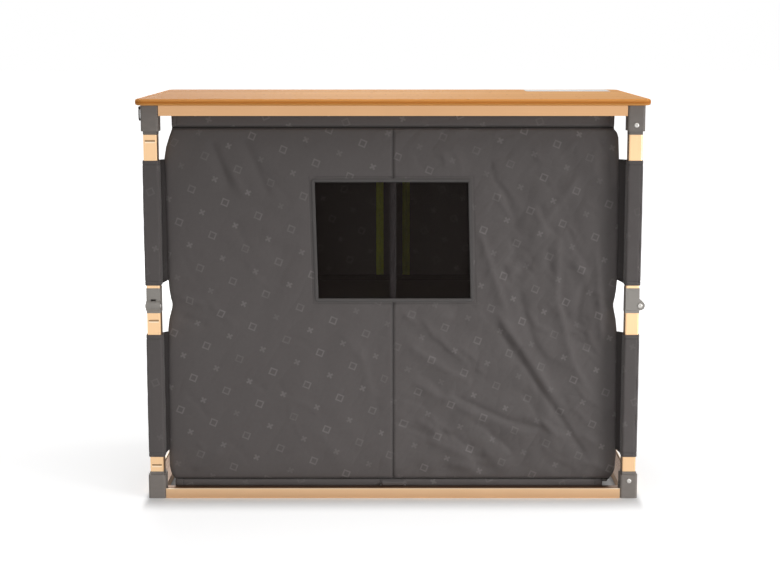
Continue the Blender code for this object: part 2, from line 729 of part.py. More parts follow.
def sheet(columns, rows, place, gaps=()):
    """Return a sheet of cloth over two lists of stations, with a point of place(a, b) at each.

    A gap is a rectangle of stations that is left open. The cloth's thickness goes to the back of
    its faces, which look along +Y where columns run along -X and rows along +Z.
    """
    shape = bmesh.new()
    across, up = len(columns) - 1, len(rows) - 1
    bmesh.ops.create_grid(shape, x_segments=across, y_segments=up, size=0.5)
    for vert in shape.verts:
        vert.co = (round((vert.co.x + 0.5) * across), round((vert.co.y + 0.5) * up), 0.0)
    left_out = []
    for face in shape.faces:
        middle = face.calc_center_median()
        column, row = int(middle.x), int(middle.y)
        a = (columns[column] + columns[column + 1]) / 2
        b = (rows[row] + rows[row + 1]) / 2
        if any(low[0] < a < high[0] and low[1] < b < high[1] for low, high in gaps):
            left_out.append(face)
    bmesh.ops.delete(shape, geom=left_out, context="FACES")
    for vert in shape.verts:
        vert.co = place(columns[round(vert.co.x)], rows[round(vert.co.y)])
    item = on_bench(mesh_from(shape))
    wall = item.modifiers.new("wall", "SOLIDIFY")
    wall.thickness = CLOTH
    wall.offset = -1.0
    wall.use_even_offset = True
    return evaluated(item)


def half_length(z):
    """Return the body's half length at a height: full in each compartment, drawn in at its ends."""
    low, high = (BODY_BOTTOM, SHELF_MIDDLE) if z < SHELF_MIDDLE else (SHELF_MIDDLE, BODY_TOP)
    share = max(-1.0, min(1.0, (2 * z - low - high) / (high - low)))
    return BODY_HALF_LENGTH - WAIST * share ** WAIST_POWER


def compartment_rows():
    """Return the heights of the rows that shape the body's two compartments."""
    lower = eased(BODY_BOTTOM, SHELF_MIDDLE, SHOULDER_ROWS)
    return lower + eased(SHELF_MIDDLE, BODY_TOP, SHOULDER_ROWS)[1:]


def on_strip(z):
    """Say whether a height lies on one of the two narrow strips that tie the cloth to the rims."""
    return z > BODY_TOP + WELD or z < BODY_BOTTOM - WELD


def side_path(rows):
    """Return the path of the cloth from the right side's top, down, under and up to the left's."""
    right = [(STRIP_HALF_LENGTH if on_strip(z) else half_length(z), z) for z in reversed(rows[1:])]
    right += [(x, CLOTH_FLOOR) for x in even(STRIP_HALF_LENGTH, 0.0, FLOOR_COLUMNS)]
    left = [(-x, z) for x, z in reversed(right[:-1])]
    return right + left


def add_cloth_body(cupboard, finishes):
    """Add the sewn bag: its sides and floor, its front frame and the wall between compartments."""
    path = side_path(panel_rows(CLOTH_FLOOR, STRIP_TOP, [DOOR_BOTTOM, DOOR_TOP]))

    def place(depth, station):
        x, z = path[station]
        recess = STRIP_RECESS / BODY_HALF_DEPTH if on_strip(z) else 0.0
        return (x, depth * (1.0 - recess), z)

    depths = even(CLOTH_EDGE, CLOTH / 2 - BODY_HALF_DEPTH, DEPTH_COLUMNS)
    sides = sheet(depths, range(len(path)), place)
    middle = CLOTH / 2
    low = CLOTH_FLOOR + CLOTH + PANEL_THICKNESS + DIVIDER_LIFT
    front = middle + STRIP_RECESS - BODY_HALF_DEPTH
    divider = box((-middle, front, low), (middle, PANEL_REACH - STRIP_RECESS, STRIP_TOP - CLOTH))
    cupboard.piece("cloth_body", combined(sides, [front_frame(), divider], "UNION"), finishes["cloth"])


def panel_rows(low, high, others):
    """Return the heights of a hung panel's rows, with its two narrow strips."""
    strips = [low, BODY_BOTTOM - STRIP_STEP, BODY_TOP + STRIP_STEP, high]
    rows = []
    for z in sorted(strips + compartment_rows() + others):
        if not rows or z - rows[-1] > CLOTH:
            rows.append(z)
    return rows


def panel_place(y_side, inset=0.0, folds=()):
    """Return the function that places the points of a hung panel on the front (-1) or back (1).

    It takes a distance across, which counts toward the left on the back, and a height.
    """
    span = (BODY_HALF_LENGTH, BODY_TOP - BODY_BOTTOM)
    strip_share = (STRIP_HALF_LENGTH - inset) / BODY_HALF_LENGTH

    def place(x, z):
        x = -x if y_side > 0 else x
        if on_strip(z):
            return (x * strip_share, y_side * (BODY_HALF_DEPTH - STRIP_RECESS), z)
        if abs(x) > BODY_HALF_LENGTH - WELD:
            return (math.copysign(half_length(z) - inset, x), y_side * BODY_HALF_DEPTH, z)
        lift = sum(ridge(x, z - BODY_BOTTOM, fold, span) for fold in folds)
        return (x, y_side * (BODY_HALF_DEPTH + lift), z)
    return place


def front_frame():
    """Return the front frame of cloth: its header, sill, sides and middle post."""
    half = BODY_HALF_LENGTH
    columns = [-half, -DOOR_OUTER] + even(-DOOR_OUTER, -POST_HALF, FRAME_COLUMNS)[1:]
    columns = columns + [-x for x in reversed(columns)]
    rows = panel_rows(CLOTH_FLOOR + CLOTH / 2, STRIP_TOP - CLOTH / 2, [DOOR_BOTTOM, DOOR_TOP])
    left = ((-DOOR_OUTER, DOOR_BOTTOM), (-POST_HALF, DOOR_TOP))
    right = ((POST_HALF, DOOR_BOTTOM), (DOOR_OUTER, DOOR_TOP))
    return sheet(columns, rows, panel_place(-1, CLOTH / 2), gaps=[left, right])


def add_cloth_back(cupboard, finishes):
    """Add the folded back panel, open at the window, and the window's mesh."""
    half = WINDOW_LENGTH / 2
    outer = BODY_HALF_LENGTH
    beside, over, after = BACK_COLUMNS
    columns = even(-outer, -half, beside) + even(-half, half, over)[1:] + even(half, outer, after)[1:]
    rows = panel_rows(CLOTH_FLOOR, STRIP_TOP, [WINDOW_BOTTOM, WINDOW_TOP])
    window = ((-half, WINDOW_BOTTOM), (half, WINDOW_TOP))
    panel = sheet(columns, rows, panel_place(1, 0.0, BACK_FOLDS), gaps=[window])
    cupboard.piece("cloth_back", panel, finishes["cloth"])
    net = box(
        (-half - MESH_LAP, CLOTH_EDGE - MESH_THICKNESS, WINDOW_BOTTOM - MESH_LAP),
        (half + MESH_LAP, CLOTH_EDGE, WINDOW_TOP + MESH_LAP),
    )
    cupboard.piece("window_mesh", net, finishes["net"])


def add_doors(cupboard, finishes):
    """Add the two cloth doors, each hung from its top edge."""
    middle = (DOOR_OUTER + POST_HALF) / 2
    span = (DOOR_WIDTH, DOOR_HEIGHT)

    def placed(mirror):
        def place(x, z):
            lift = sum(ridge(mirror * x, z, fold, span) for fold in DOOR_FOLDS)
            inside = min(DOOR_WIDTH / 2 - abs(x), -z, z + DOOR_HEIGHT)
            return (x, -lift * max(0.0, min(1.0, inside / DOOR_FLAT_EDGE)), z)
        return place

    across = even(-DOOR_WIDTH / 2, DOOR_WIDTH / 2, DOOR_COLUMNS)
    down = even(-DOOR_HEIGHT, 0.0, DOOR_ROWS)
    for name, side in (("door_left", -1), ("door_right", 1)):
        place = (side * middle, -BODY_HALF_DEPTH, DOOR_TOP - FIT_GAP)
        hinge = cupboard.pivot(name + "_hinge", place)
        cupboard.piece(name, sheet(across, down, placed(side)), finishes["cloth"], hinge)


def add_panels(cupboard, finishes):
    """Add the thin boards: two shelves that hang in the cloth and one on the cloth floor."""
    start = CLOTH / 2 + FIT_GAP
    end = WAIST_HALF_LENGTH - CLOTH - FIT_GAP
    for name, side in (("shelf_left", -1), ("shelf_right", 1)):
        near, far = sorted((side * start, side * end))
        shelf = box((near, -PANEL_REACH, SHELF_TOP - PANEL_THICKNESS), (far, PANEL_REACH, SHELF_TOP))
        cupboard.piece(name, shelf, finishes["panel"])
    end = STRIP_HALF_LENGTH - CLOTH - FIT_GAP
    reach = PANEL_REACH - STRIP_RECESS
    low = CLOTH_FLOOR + CLOTH + FIT_GAP
    floor = box((-end, -reach, low), (end, reach, low + PANEL_THICKNESS))
    cupboard.piece("floor_board", floor, finishes["panel"])


def add_crossbar(cupboard, finishes):
    """Add the bar across the bottom rim that carries the middle of the cloth floor."""
    end = CORNER_Y + RAIL_OUTER - RAIL_DEPTH - FIT_GAP
    half = CROSSBAR_WIDTH / 2
    low = (-half, CROSSBAR_TOP - CROSSBAR_HEIGHT)
    outline = rounded_rectangle(low, (half, CROSSBAR_TOP), CROSSBAR_ROUND)
    inner = rounded_rectangle(
        (low[0] + RAIL_WALL, low[1] + RAIL_WALL), (half - RAIL_WALL, CROSSBAR_TOP - RAIL_WALL),
        CROSSBAR_ROUND - RAIL_WALL, 1,
    )
    cupboard.piece("floor_crossbar", extrusion([outline, inner], -end, end, "Y"), finishes["gold"])


def make_finishes():
    """Return the materials of the cupboard by short names."""
    return {
        "board": finish("bamboo_board", (0.55, 0.33, 0.16), 0.45),
        "plate": finish("brushed_plate", (0.62, 0.62, 0.60), 0.35, 1.0),
        "gold": finish("champagne_aluminium", (0.80, 0.58, 0.36), 0.38, 1.0),
        "grey": finish("grey_moulding", (0.19, 0.175, 0.165), 0.50),
        "steel": finish("plain_steel", (0.60, 0.59, 0.57), 0.30, 1.0),
        "cloth": finish("dark_cloth", (0.085, 0.078, 0.075), 0.90),
        "net": finish("window_net", (0.020, 0.018, 0.017), 0.80),
        "panel": finish("thin_panel", (0.16, 0.15, 0.14), 0.60),
    }


def build():
    """Build the whole cupboard."""
    for item in list(bpy.data.objects):
        bpy.data.objects.remove(item)
    finishes = make_finishes()
    cupboard = Cupboard()
    add_rails(cupboard, "bottom", 0.0, 1, finishes)
    add_rails(cupboard, "top", FRAME_TOP, -1, finishes)
    add_corners(cupboard, finishes)
    add_crossbar(cupboard, finishes)
    add_legs(cupboard, finishes)
    add_board(cupboard, finishes)
    add_ring(cupboard, finishes)
    add_panels(cupboard, finishes)
    add_cloth_body(cupboard, finishes)
    add_cloth_back(cupboard, finishes)
    add_doors(cupboard, finishes)


build()
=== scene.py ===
"""Looks of the folding cupboard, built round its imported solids.

Every length is in metres, in the frame of the solids: +Z up, the doors face -Y, the back with its
window faces +Y. Hard parts keep their solids and get finishes. Cloth is cut flat, placed on the
body's shape, folded and sewn here, and stands for its plain solids.
"""

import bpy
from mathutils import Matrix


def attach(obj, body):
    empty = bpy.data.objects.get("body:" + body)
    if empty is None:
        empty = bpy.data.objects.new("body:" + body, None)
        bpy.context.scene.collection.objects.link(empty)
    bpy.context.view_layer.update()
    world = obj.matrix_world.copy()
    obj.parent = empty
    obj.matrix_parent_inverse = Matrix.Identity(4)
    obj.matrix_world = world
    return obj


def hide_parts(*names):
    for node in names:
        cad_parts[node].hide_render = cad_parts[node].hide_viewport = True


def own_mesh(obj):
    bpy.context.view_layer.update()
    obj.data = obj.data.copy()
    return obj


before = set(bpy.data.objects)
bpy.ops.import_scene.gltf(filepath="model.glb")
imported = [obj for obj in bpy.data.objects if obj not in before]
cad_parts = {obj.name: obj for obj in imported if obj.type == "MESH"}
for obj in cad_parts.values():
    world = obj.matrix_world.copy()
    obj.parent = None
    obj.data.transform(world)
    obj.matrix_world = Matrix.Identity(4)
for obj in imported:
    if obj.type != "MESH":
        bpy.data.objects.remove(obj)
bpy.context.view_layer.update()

import logging
import math
from dataclasses import dataclass, field
from enum import Enum
from typing import Callable, Iterable, Optional, Sequence, Union

import bmesh
import bpy
import numpy as np
from mathutils import Matrix, Vector

LOG = logging.getLogger("folding_cupboard")
Colour = tuple[float, float, float, float]
Socket = bpy.types.NodeSocket
Feed = Union[Socket, float, Colour, tuple[float, float, float]]
Array = np.ndarray
Form = bmesh.types.BMesh
Points = Array
Placing = Callable[[Array, Array], Points]
FAR = 1.0
WELD = 1e-5
NARROWEST_SHEET = 0.0105
SHARP_ANGLE = math.radians(38)
TRIM_WALL = 0.0008
CLOTH_WALL = 0.001


def display(red: float, green: float, blue: float) -> Colour:
    """Turn a colour as a screen shows it into the scene's linear colour.

    Args:
        red: red from 0 to 255.
        green: green from 0 to 255.
        blue: blue from 0 to 255.

    Returns:
        The linear colour, opaque.
    """
    def linear(value: float) -> float:
        """Return one channel in linear light."""
        share = value / 255
        return share / 12.92 if share <= 0.04045 else ((share + 0.055) / 1.055) ** 2.4
    return (linear(red), linear(green), linear(blue), 1.0)


class Axis(Enum):
    """A direction of the frame, by its place in a vector."""

    X = 0
    Y = 1
    Z = 2


class Side(Enum):
    """Which way a thing lies from the middle along X, seen from the doors."""

    LEFT = -1
    RIGHT = 1


class Held(Enum):
    """How a sheet of cloth is held."""

    HUNG = "hung"
    STRETCHED = "stretched"


@dataclass(frozen=True)
class Layout:
    """Sizes that several sub-assemblies share, as the solids have them."""

    leg_x: float = 0.491
    leg_y: float = 0.211
    low_hip: float = 0.037
    knee: float = 0.407
    top_hip: float = 0.777
    knee_offset: float = 0.0155
    body_length: float = 0.468
    body_depth: float = 0.19
    body_bottom: float = 0.031
    body_top: float = 0.768
    strip_bottom: float = 0.0228
    strip_top: float = 0.8055
    strip_length: float = 0.452
    strip_depth: float = 0.187


LAYOUT = Layout()


class Graph:
    """The node tree of a material or the world, with short calls for the nodes that are shared."""

    def __init__(self, tree: bpy.types.NodeTree, output: str) -> None:
        """Empty a node tree and give it an output node of that kind."""
        self.tree = tree
        self.tree.nodes.clear()
        self.output = self.node(output, {})

    def feed(self, socket: Socket, value: Feed) -> None:
        """Link a socket to another one, or set its value."""
        if isinstance(value, Socket):
            self.tree.links.new(value, socket)
        else:
            socket.default_value = value

    def node(self, kind: str, inputs: dict, **settings: object) -> bpy.types.Node:
        """Add a node.

        Args:
            kind: the node's type without the word ShaderNode.
            inputs: what each input gets, by name or number.
            settings: the node's own settings.

        Returns:
            The new node.
        """
        made = self.tree.nodes.new("ShaderNode" + kind)
        for key, value in settings.items():
            setattr(made, key, value)
        for key, value in inputs.items():
            self.feed(made.inputs[key], value)
        return made

    def math(self, operation: str, first: Feed, second: Feed = 0.0, third: Feed = 0.0) -> Socket:
        """Return the result of one Math node."""
        return self.node("Math", {0: first, 1: second, 2: third}, operation=operation).outputs[0]

    def times(self, first: Feed, second: Feed) -> Socket:
        """Return the product of two values."""
        return self.math("MULTIPLY", first, second)

    def plus(self, first: Feed, second: Feed) -> Socket:
        """Return the sum of two values."""
        return self.math("ADD", first, second)

    def minus(self, first: Feed, second: Feed) -> Socket:
        """Return the first value less the second."""
        return self.math("SUBTRACT", first, second)

    def larger(self, first: Feed, second: Feed) -> Socket:
        """Return the larger of two values."""
        return self.math("MAXIMUM", first, second)

    def ease(self, value: Feed, low: float, high: float) -> Socket:
        """Return 0 below low, 1 above high and a smooth step between them."""
        return self.node("MapRange", {"Value": value, "From Min": low, "From Max": high},
                         interpolation_type="SMOOTHSTEP").outputs["Result"]

    def band(self, value: Feed, middle: float, half: float, soft: float) -> Socket:
        """Return 1 within half of the middle and 0 outside, with soft flanks."""
        away = self.math("ABSOLUTE", self.minus(value, middle))
        return self.minus(1.0, self.ease(away, half - soft, half + soft))

    def mix(self, share: Feed, first: Feed, second: Feed) -> Socket:
        """Return the first colour where the share is 0 and the second where it is 1."""
        return self.node("Mix", {0: share, 6: first, 7: second}, data_type="RGBA").outputs[2]

    def place(self) -> Socket:
        """Return the point's place on its object."""
        return self.node("TexCoord", {}).outputs["Object"]

    def faces(self, axis: Axis) -> Socket:
        """Return 1 on the surfaces that face along an axis, either way, and 0 on the others."""
        normal = self.node("TexCoord", {}).outputs["Normal"]
        return self.ease(self.math("ABSOLUTE", self.split(normal)[axis.value]), 0.6, 0.8)

    def map(self, name: str) -> Socket:
        """Return a UV map of the piece."""
        return self.node("UVMap", {}, uv_map=name).outputs["UV"]

    def split(self, vector: Socket) -> tuple[Socket, ...]:
        """Return the three parts of a vector."""
        return tuple(self.node("SeparateXYZ", {0: vector}).outputs)

    def stretch(self, vector: Socket, scale: tuple[float, float, float]) -> Socket:
        """Return the vector scaled along each axis."""
        return self.node("Mapping", {"Vector": vector, "Scale": scale}).outputs["Vector"]

    def turn(self, vector: Socket, angles: tuple[float, float, float]) -> Socket:
        """Return the vector turned about each axis."""
        return self.node("Mapping", {"Vector": vector, "Rotation": angles}).outputs["Vector"]

    def noise(self, vector: Socket, scale: float, detail: float = 3.0,
              rough: float = 0.5) -> Socket:
        """Return a noise from 0 to 1."""
        return self.node("TexNoise", {"Vector": vector, "Scale": scale, "Detail": detail,
                                      "Roughness": rough}).outputs["Fac"]

    def chance(self, value: Socket) -> Socket:
        """Return a random value that depends on one number."""
        return self.node("TexWhiteNoise", {"W": value}, noise_dimensions="1D").outputs["Value"]

    def spread(self, value: Feed, low: float, high: float) -> Socket:
        """Return a value from 0 to 1 spread between two others."""
        return self.math("MULTIPLY_ADD", value, high - low, low)

    def dashes(self, value: Feed, pitch: float, half: float = 0.36) -> Socket:
        """Return 1 on marks that lie a pitch apart and 0 between them."""
        return self.band(self.math("FRACT", self.math("DIVIDE", value, pitch)), 0.5, half, 0.05)

    def wave(self, value: Feed, pitch: float) -> Socket:
        """Return a sine from -1 to 1 with that pitch in metres."""
        return self.math("SINE", self.times(value, math.tau / pitch))

    def bump(self, height: Feed, depth: float, strength: float = 1.0,
             below: Optional[Socket] = None) -> Socket:
        """Return a normal that a height from 0 to 1 makes, with its depth in metres."""
        inputs = {"Height": height, "Distance": depth, "Strength": strength}
        if below is not None:
            inputs["Normal"] = below
        return self.node("Bump", inputs).outputs["Normal"]

    def seen(self) -> Socket:
        """Return 1 for what the camera sees, directly, in a reflection or through something."""
        paths = self.node("LightPath", {}).outputs
        indirect = self.larger(paths["Is Glossy Ray"], paths["Is Transmission Ray"])
        return self.larger(paths["Is Camera Ray"], indirect)

    def end(self, shader: Socket) -> None:
        """End the tree in a shader."""
        self.feed(self.output.inputs["Surface"], shader)

    def surface(self, colour: Feed, rough: Feed, normal: Socket, **more: Feed) -> None:
        """End the material in one Principled shader; more names its other inputs."""
        inputs = {"Base Color": colour, "Roughness": rough, "Normal": normal}
        inputs.update({key.replace("_", " "): value for key, value in more.items()})
        self.end(self.node("BsdfPrincipled", inputs).outputs["BSDF"])


@dataclass(frozen=True)
class Finish:
    """A finish that a maker would name, and how it looks."""

    name: str

    def material(self) -> bpy.types.Material:
        """Return the finish's material, made the first time that it is asked for."""
        own_name = f"{self.name}_finish"
        found = bpy.data.materials.get(own_name)
        if found is not None:
            return found
        made = bpy.data.materials.new(own_name)
        made.use_nodes = True
        self.paint(Graph(made.node_tree, "OutputMaterial"))
        return made

    def paint(self, graph: Graph) -> None:
        """Fill the graph; each finish does this its own way."""
        raise NotImplementedError


@dataclass(frozen=True)
class Bamboo(Finish):
    """Laminated bamboo: staves along the board with fibre and knots, and plies on its edge; its top
    gets painted shade towards the +X end.
    """

    light: Colour = display(222, 168, 104)
    dark: Colour = display(196, 138, 78)
    shaded_end: Colour = display(168, 110, 62)
    knot: Colour = display(158, 102, 52)
    ply_top: Colour = display(250, 172, 92)
    ply_middle: Colour = display(226, 140, 62)
    ply_bottom: Colour = display(250, 178, 100)
    stave: float = 0.0195
    knot_pitch: float = 0.26
    face: float = 0.8292
    half_length: float = 0.52
    half_depth: float = 0.24
    rim: float = 0.011
    upper_glue: float = 0.8252
    lower_glue: float = 0.8209
    glue_soft: float = 0.0004
    shaded_end_run: tuple[float, float] = (0.08, 0.52)
    shaded_end_share: float = 0.42
    knot_shift: float = 9.7

    def paint(self, graph: Graph) -> None:
        """Paint the staves by place across the board, painted shade towards the +X end, and the
        plies by height.
        """
        place = graph.place()
        along, across, height = graph.split(place)
        lane = graph.math("DIVIDE", across, self.stave)
        tone = graph.chance(graph.math("FLOOR", lane))
        knot_run = graph.math("DIVIDE", along, self.knot_pitch)
        knot_run = graph.math("MULTIPLY_ADD", tone, self.knot_shift, knot_run)
        knots = graph.band(graph.math("FRACT", knot_run), 0.5, 0.009, 0.006)
        joint = graph.band(graph.math("FRACT", lane), 0.0, 0.02, 0.015)
        fibre = graph.noise(graph.stretch(place, (5, 420, 420)), 1.0, 4, 0.6)
        cloud = graph.noise(graph.stretch(place, (2, 9, 9)), 1.0, 2)
        tint = graph.math("MULTIPLY_ADD", tone, 0.55, graph.times(fibre, 0.6))
        tint = graph.math("MULTIPLY_ADD", cloud, 0.3, graph.minus(tint, 0.1))
        top = graph.mix(tint, self.light, self.dark)
        # Painted shade: the top darkens towards the +X end of the board.
        end_shade = graph.times(graph.ease(along, *self.shaded_end_run), self.shaded_end_share)
        top = graph.mix(end_shade, top, self.shaded_end)
        rims = [graph.ease(graph.math("ABSOLUTE", part), half - self.rim, half - self.rim * 0.4)
                for part, half in ((along, self.half_length), (across, self.half_depth))]
        top = graph.mix(graph.times(graph.larger(*rims), 0.6), top, self.ply_middle)
        top = graph.mix(graph.times(graph.larger(knots, joint), 0.35), top, self.knot)
        upper, lower = (graph.ease(height, glue - self.glue_soft, glue + self.glue_soft)
                        for glue in (self.upper_glue, self.lower_glue))
        edge = graph.mix(lower, self.ply_bottom, graph.mix(upper, self.ply_middle, self.ply_top))
        edge = graph.mix(graph.times(fibre, 0.35), edge, self.knot)
        on_face = graph.ease(height, self.face - 0.0006, self.face + 0.0005)
        relief = graph.math("MULTIPLY_ADD", joint, -0.6, fibre)
        graph.surface(graph.mix(on_face, edge, top), graph.spread(fibre, 0.58, 0.72),
                      graph.bump(relief, 0.0002, 0.35), Specular_IOR_Level=0.08)


@dataclass(frozen=True)
class Aluminium(Finish):
    """Champagne anodised aluminium with a fine grain along its length and crimps across a face,
    with painted highlights along a lip and below the crimps and painted shade on a ledge and in the
    crimps.
    """

    grain: Axis = Axis.Z
    crimped: Optional[Axis] = None
    colour: Colour = display(246, 207, 162)
    shade: Colour = display(218, 173, 128)
    crimp_shade: Colour = display(120, 84, 50)
    # On the metal, wear_and_highlight is the colour of the painted highlights.
    wear_and_highlight: Colour = display(252, 232, 204)
    ledge_shade: Colour = display(104, 74, 52)
    lip: float = -FAR
    ledge: float = -FAR
    crimp_heights: tuple[float, ...] = (0.7452, 0.376, 0.0702)
    crimp_half_height: float = 0.0014
    crimp_half_width: float = 0.01

    def crimps(self, graph: Graph, parts: Sequence[Socket], above: float) -> Socket:
        """Return where the crimps are, or the lines beside them.

        Args:
            graph: the material's graph.
            parts: the place's three parts.
            above: how far above the crimps.

        Returns:
            1 in a crimp and 0 elsewhere.
        """
        across, middle = parts[0], LAYOUT.leg_x
        if self.crimped is Axis.X:
            across, middle = parts[1], LAYOUT.leg_y
        rows = [graph.band(parts[2], height + above, self.crimp_half_height, 0.0005)
                for height in self.crimp_heights]
        row = graph.larger(graph.larger(rows[0], rows[1]), rows[2])
        width = graph.band(graph.math("ABSOLUTE", across), middle, self.crimp_half_width, 0.0006)
        return graph.times(graph.times(row, width), graph.faces(self.crimped))

    def paint(self, graph: Graph) -> None:
        """Paint the grain along the tube or rail, the painted highlights and painted shade, and
        sink the crimps.
        """
        place = graph.place()
        scale = [900.0, 900.0, 900.0]
        scale[self.grain.value] = 6.0
        grain = graph.noise(graph.stretch(place, tuple(scale)), 1.0, 3, 0.6)
        cloud = graph.noise(place, 9.0, 2)
        tint = graph.math("MULTIPLY_ADD", grain, 0.22, graph.times(cloud, 0.25))
        colour = graph.mix(tint, self.colour, self.shade)
        height = graph.split(place)[Axis.Z.value]
        # Painted highlight: a pale line along the top of the lip.
        lip = graph.band(height, self.lip, 0.0014, 0.0005)
        colour = graph.mix(graph.times(lip, graph.spread(cloud, 0.7, 1.0)), colour, self.wear_and_highlight)
        # Painted shade and painted reflection of the dark cloth: the ledge's upward face is
        # darkened.
        ledge_shade_mask = graph.times(graph.band(height, self.ledge, 0.0016, 0.0004), graph.faces(Axis.Z))
        colour = graph.mix(graph.times(ledge_shade_mask, 0.9), colour, self.ledge_shade)
        normal = graph.bump(grain, 0.00003, 0.5)
        if self.crimped is not None:
            crimps = self.crimps(graph, graph.split(place), 0.0)
            # Painted highlight: a pale line just below each crimp.
            rim = self.crimps(graph, graph.split(place), -0.003)
            colour = graph.mix(graph.times(rim, 0.75), colour, self.wear_and_highlight)
            # Painted shade: the crimps are darkened the way their grooves would be shaded.
            colour = graph.mix(graph.times(crimps, 0.7), colour, self.crimp_shade)
            normal = graph.bump(crimps, -0.0016, 1.0, normal)
        graph.surface(colour, graph.spread(grain, 0.24, 0.36), normal, Metallic=0.94)


@dataclass(frozen=True)
class Moulding(Finish):
    """Grey moulded nylon with a fine spark texture and faint flow marks."""

    colour: Colour = display(121, 114, 109)
    pale: Colour = display(145, 138, 132)
    roughness: float = 0.5

    def paint(self, graph: Graph) -> None:
        """Paint the spark texture and the flow marks."""
        place = graph.place()
        spark = graph.noise(place, 1500.0, 2, 0.7)
        flow = graph.noise(graph.stretch(place, (1, 1, 2.5)), 38.0, 3)
        colour = graph.mix(graph.spread(flow, 0.0, 0.7), self.colour, self.pale)
        rough = graph.spread(flow, self.roughness - 0.06, self.roughness + 0.08)
        graph.surface(colour, rough, graph.bump(spark, 0.00006, 0.5), Specular_IOR_Level=0.42)


@dataclass(frozen=True)
class Steel(Finish):
    """Bright or blackened steel with fine turning marks and specks."""

    colour: Colour = display(214, 211, 206)
    shade: Colour = display(150, 147, 143)
    roughness: float = 0.26

    def paint(self, graph: Graph) -> None:
        """Paint the specks and the fine marks."""
        place = graph.place()
        marks = graph.noise(place, 1100.0, 3, 0.6)
        specks = graph.noise(place, 260.0, 4, 0.7)
        colour = graph.mix(graph.times(specks, 0.4), self.colour, self.shade)
        rough = graph.spread(specks, self.roughness, self.roughness + 0.16)
        graph.surface(colour, rough, graph.bump(marks, 0.00002, 0.5), Metallic=0.9)


@dataclass(frozen=True)
class BrushedPlate(Finish):
    """Pale brushed metal plate, brushed along the board."""

    colour: Colour = display(190, 189, 186)
    shade: Colour = display(154, 153, 150)

    def paint(self, graph: Graph) -> None:
        """Paint the brush lines."""
        place = graph.place()
        brush = graph.noise(graph.stretch(place, (9, 1300, 1300)), 1.0, 4, 0.65)
        stain = graph.noise(place, 16.0, 3)
        colour = graph.mix(graph.times(graph.plus(brush, stain), 0.3), self.colour, self.shade)
        graph.surface(colour, graph.spread(brush, 0.28, 0.44), graph.bump(brush, 0.00003, 0.6),
                      Metallic=0.85, Anisotropic=0.4)


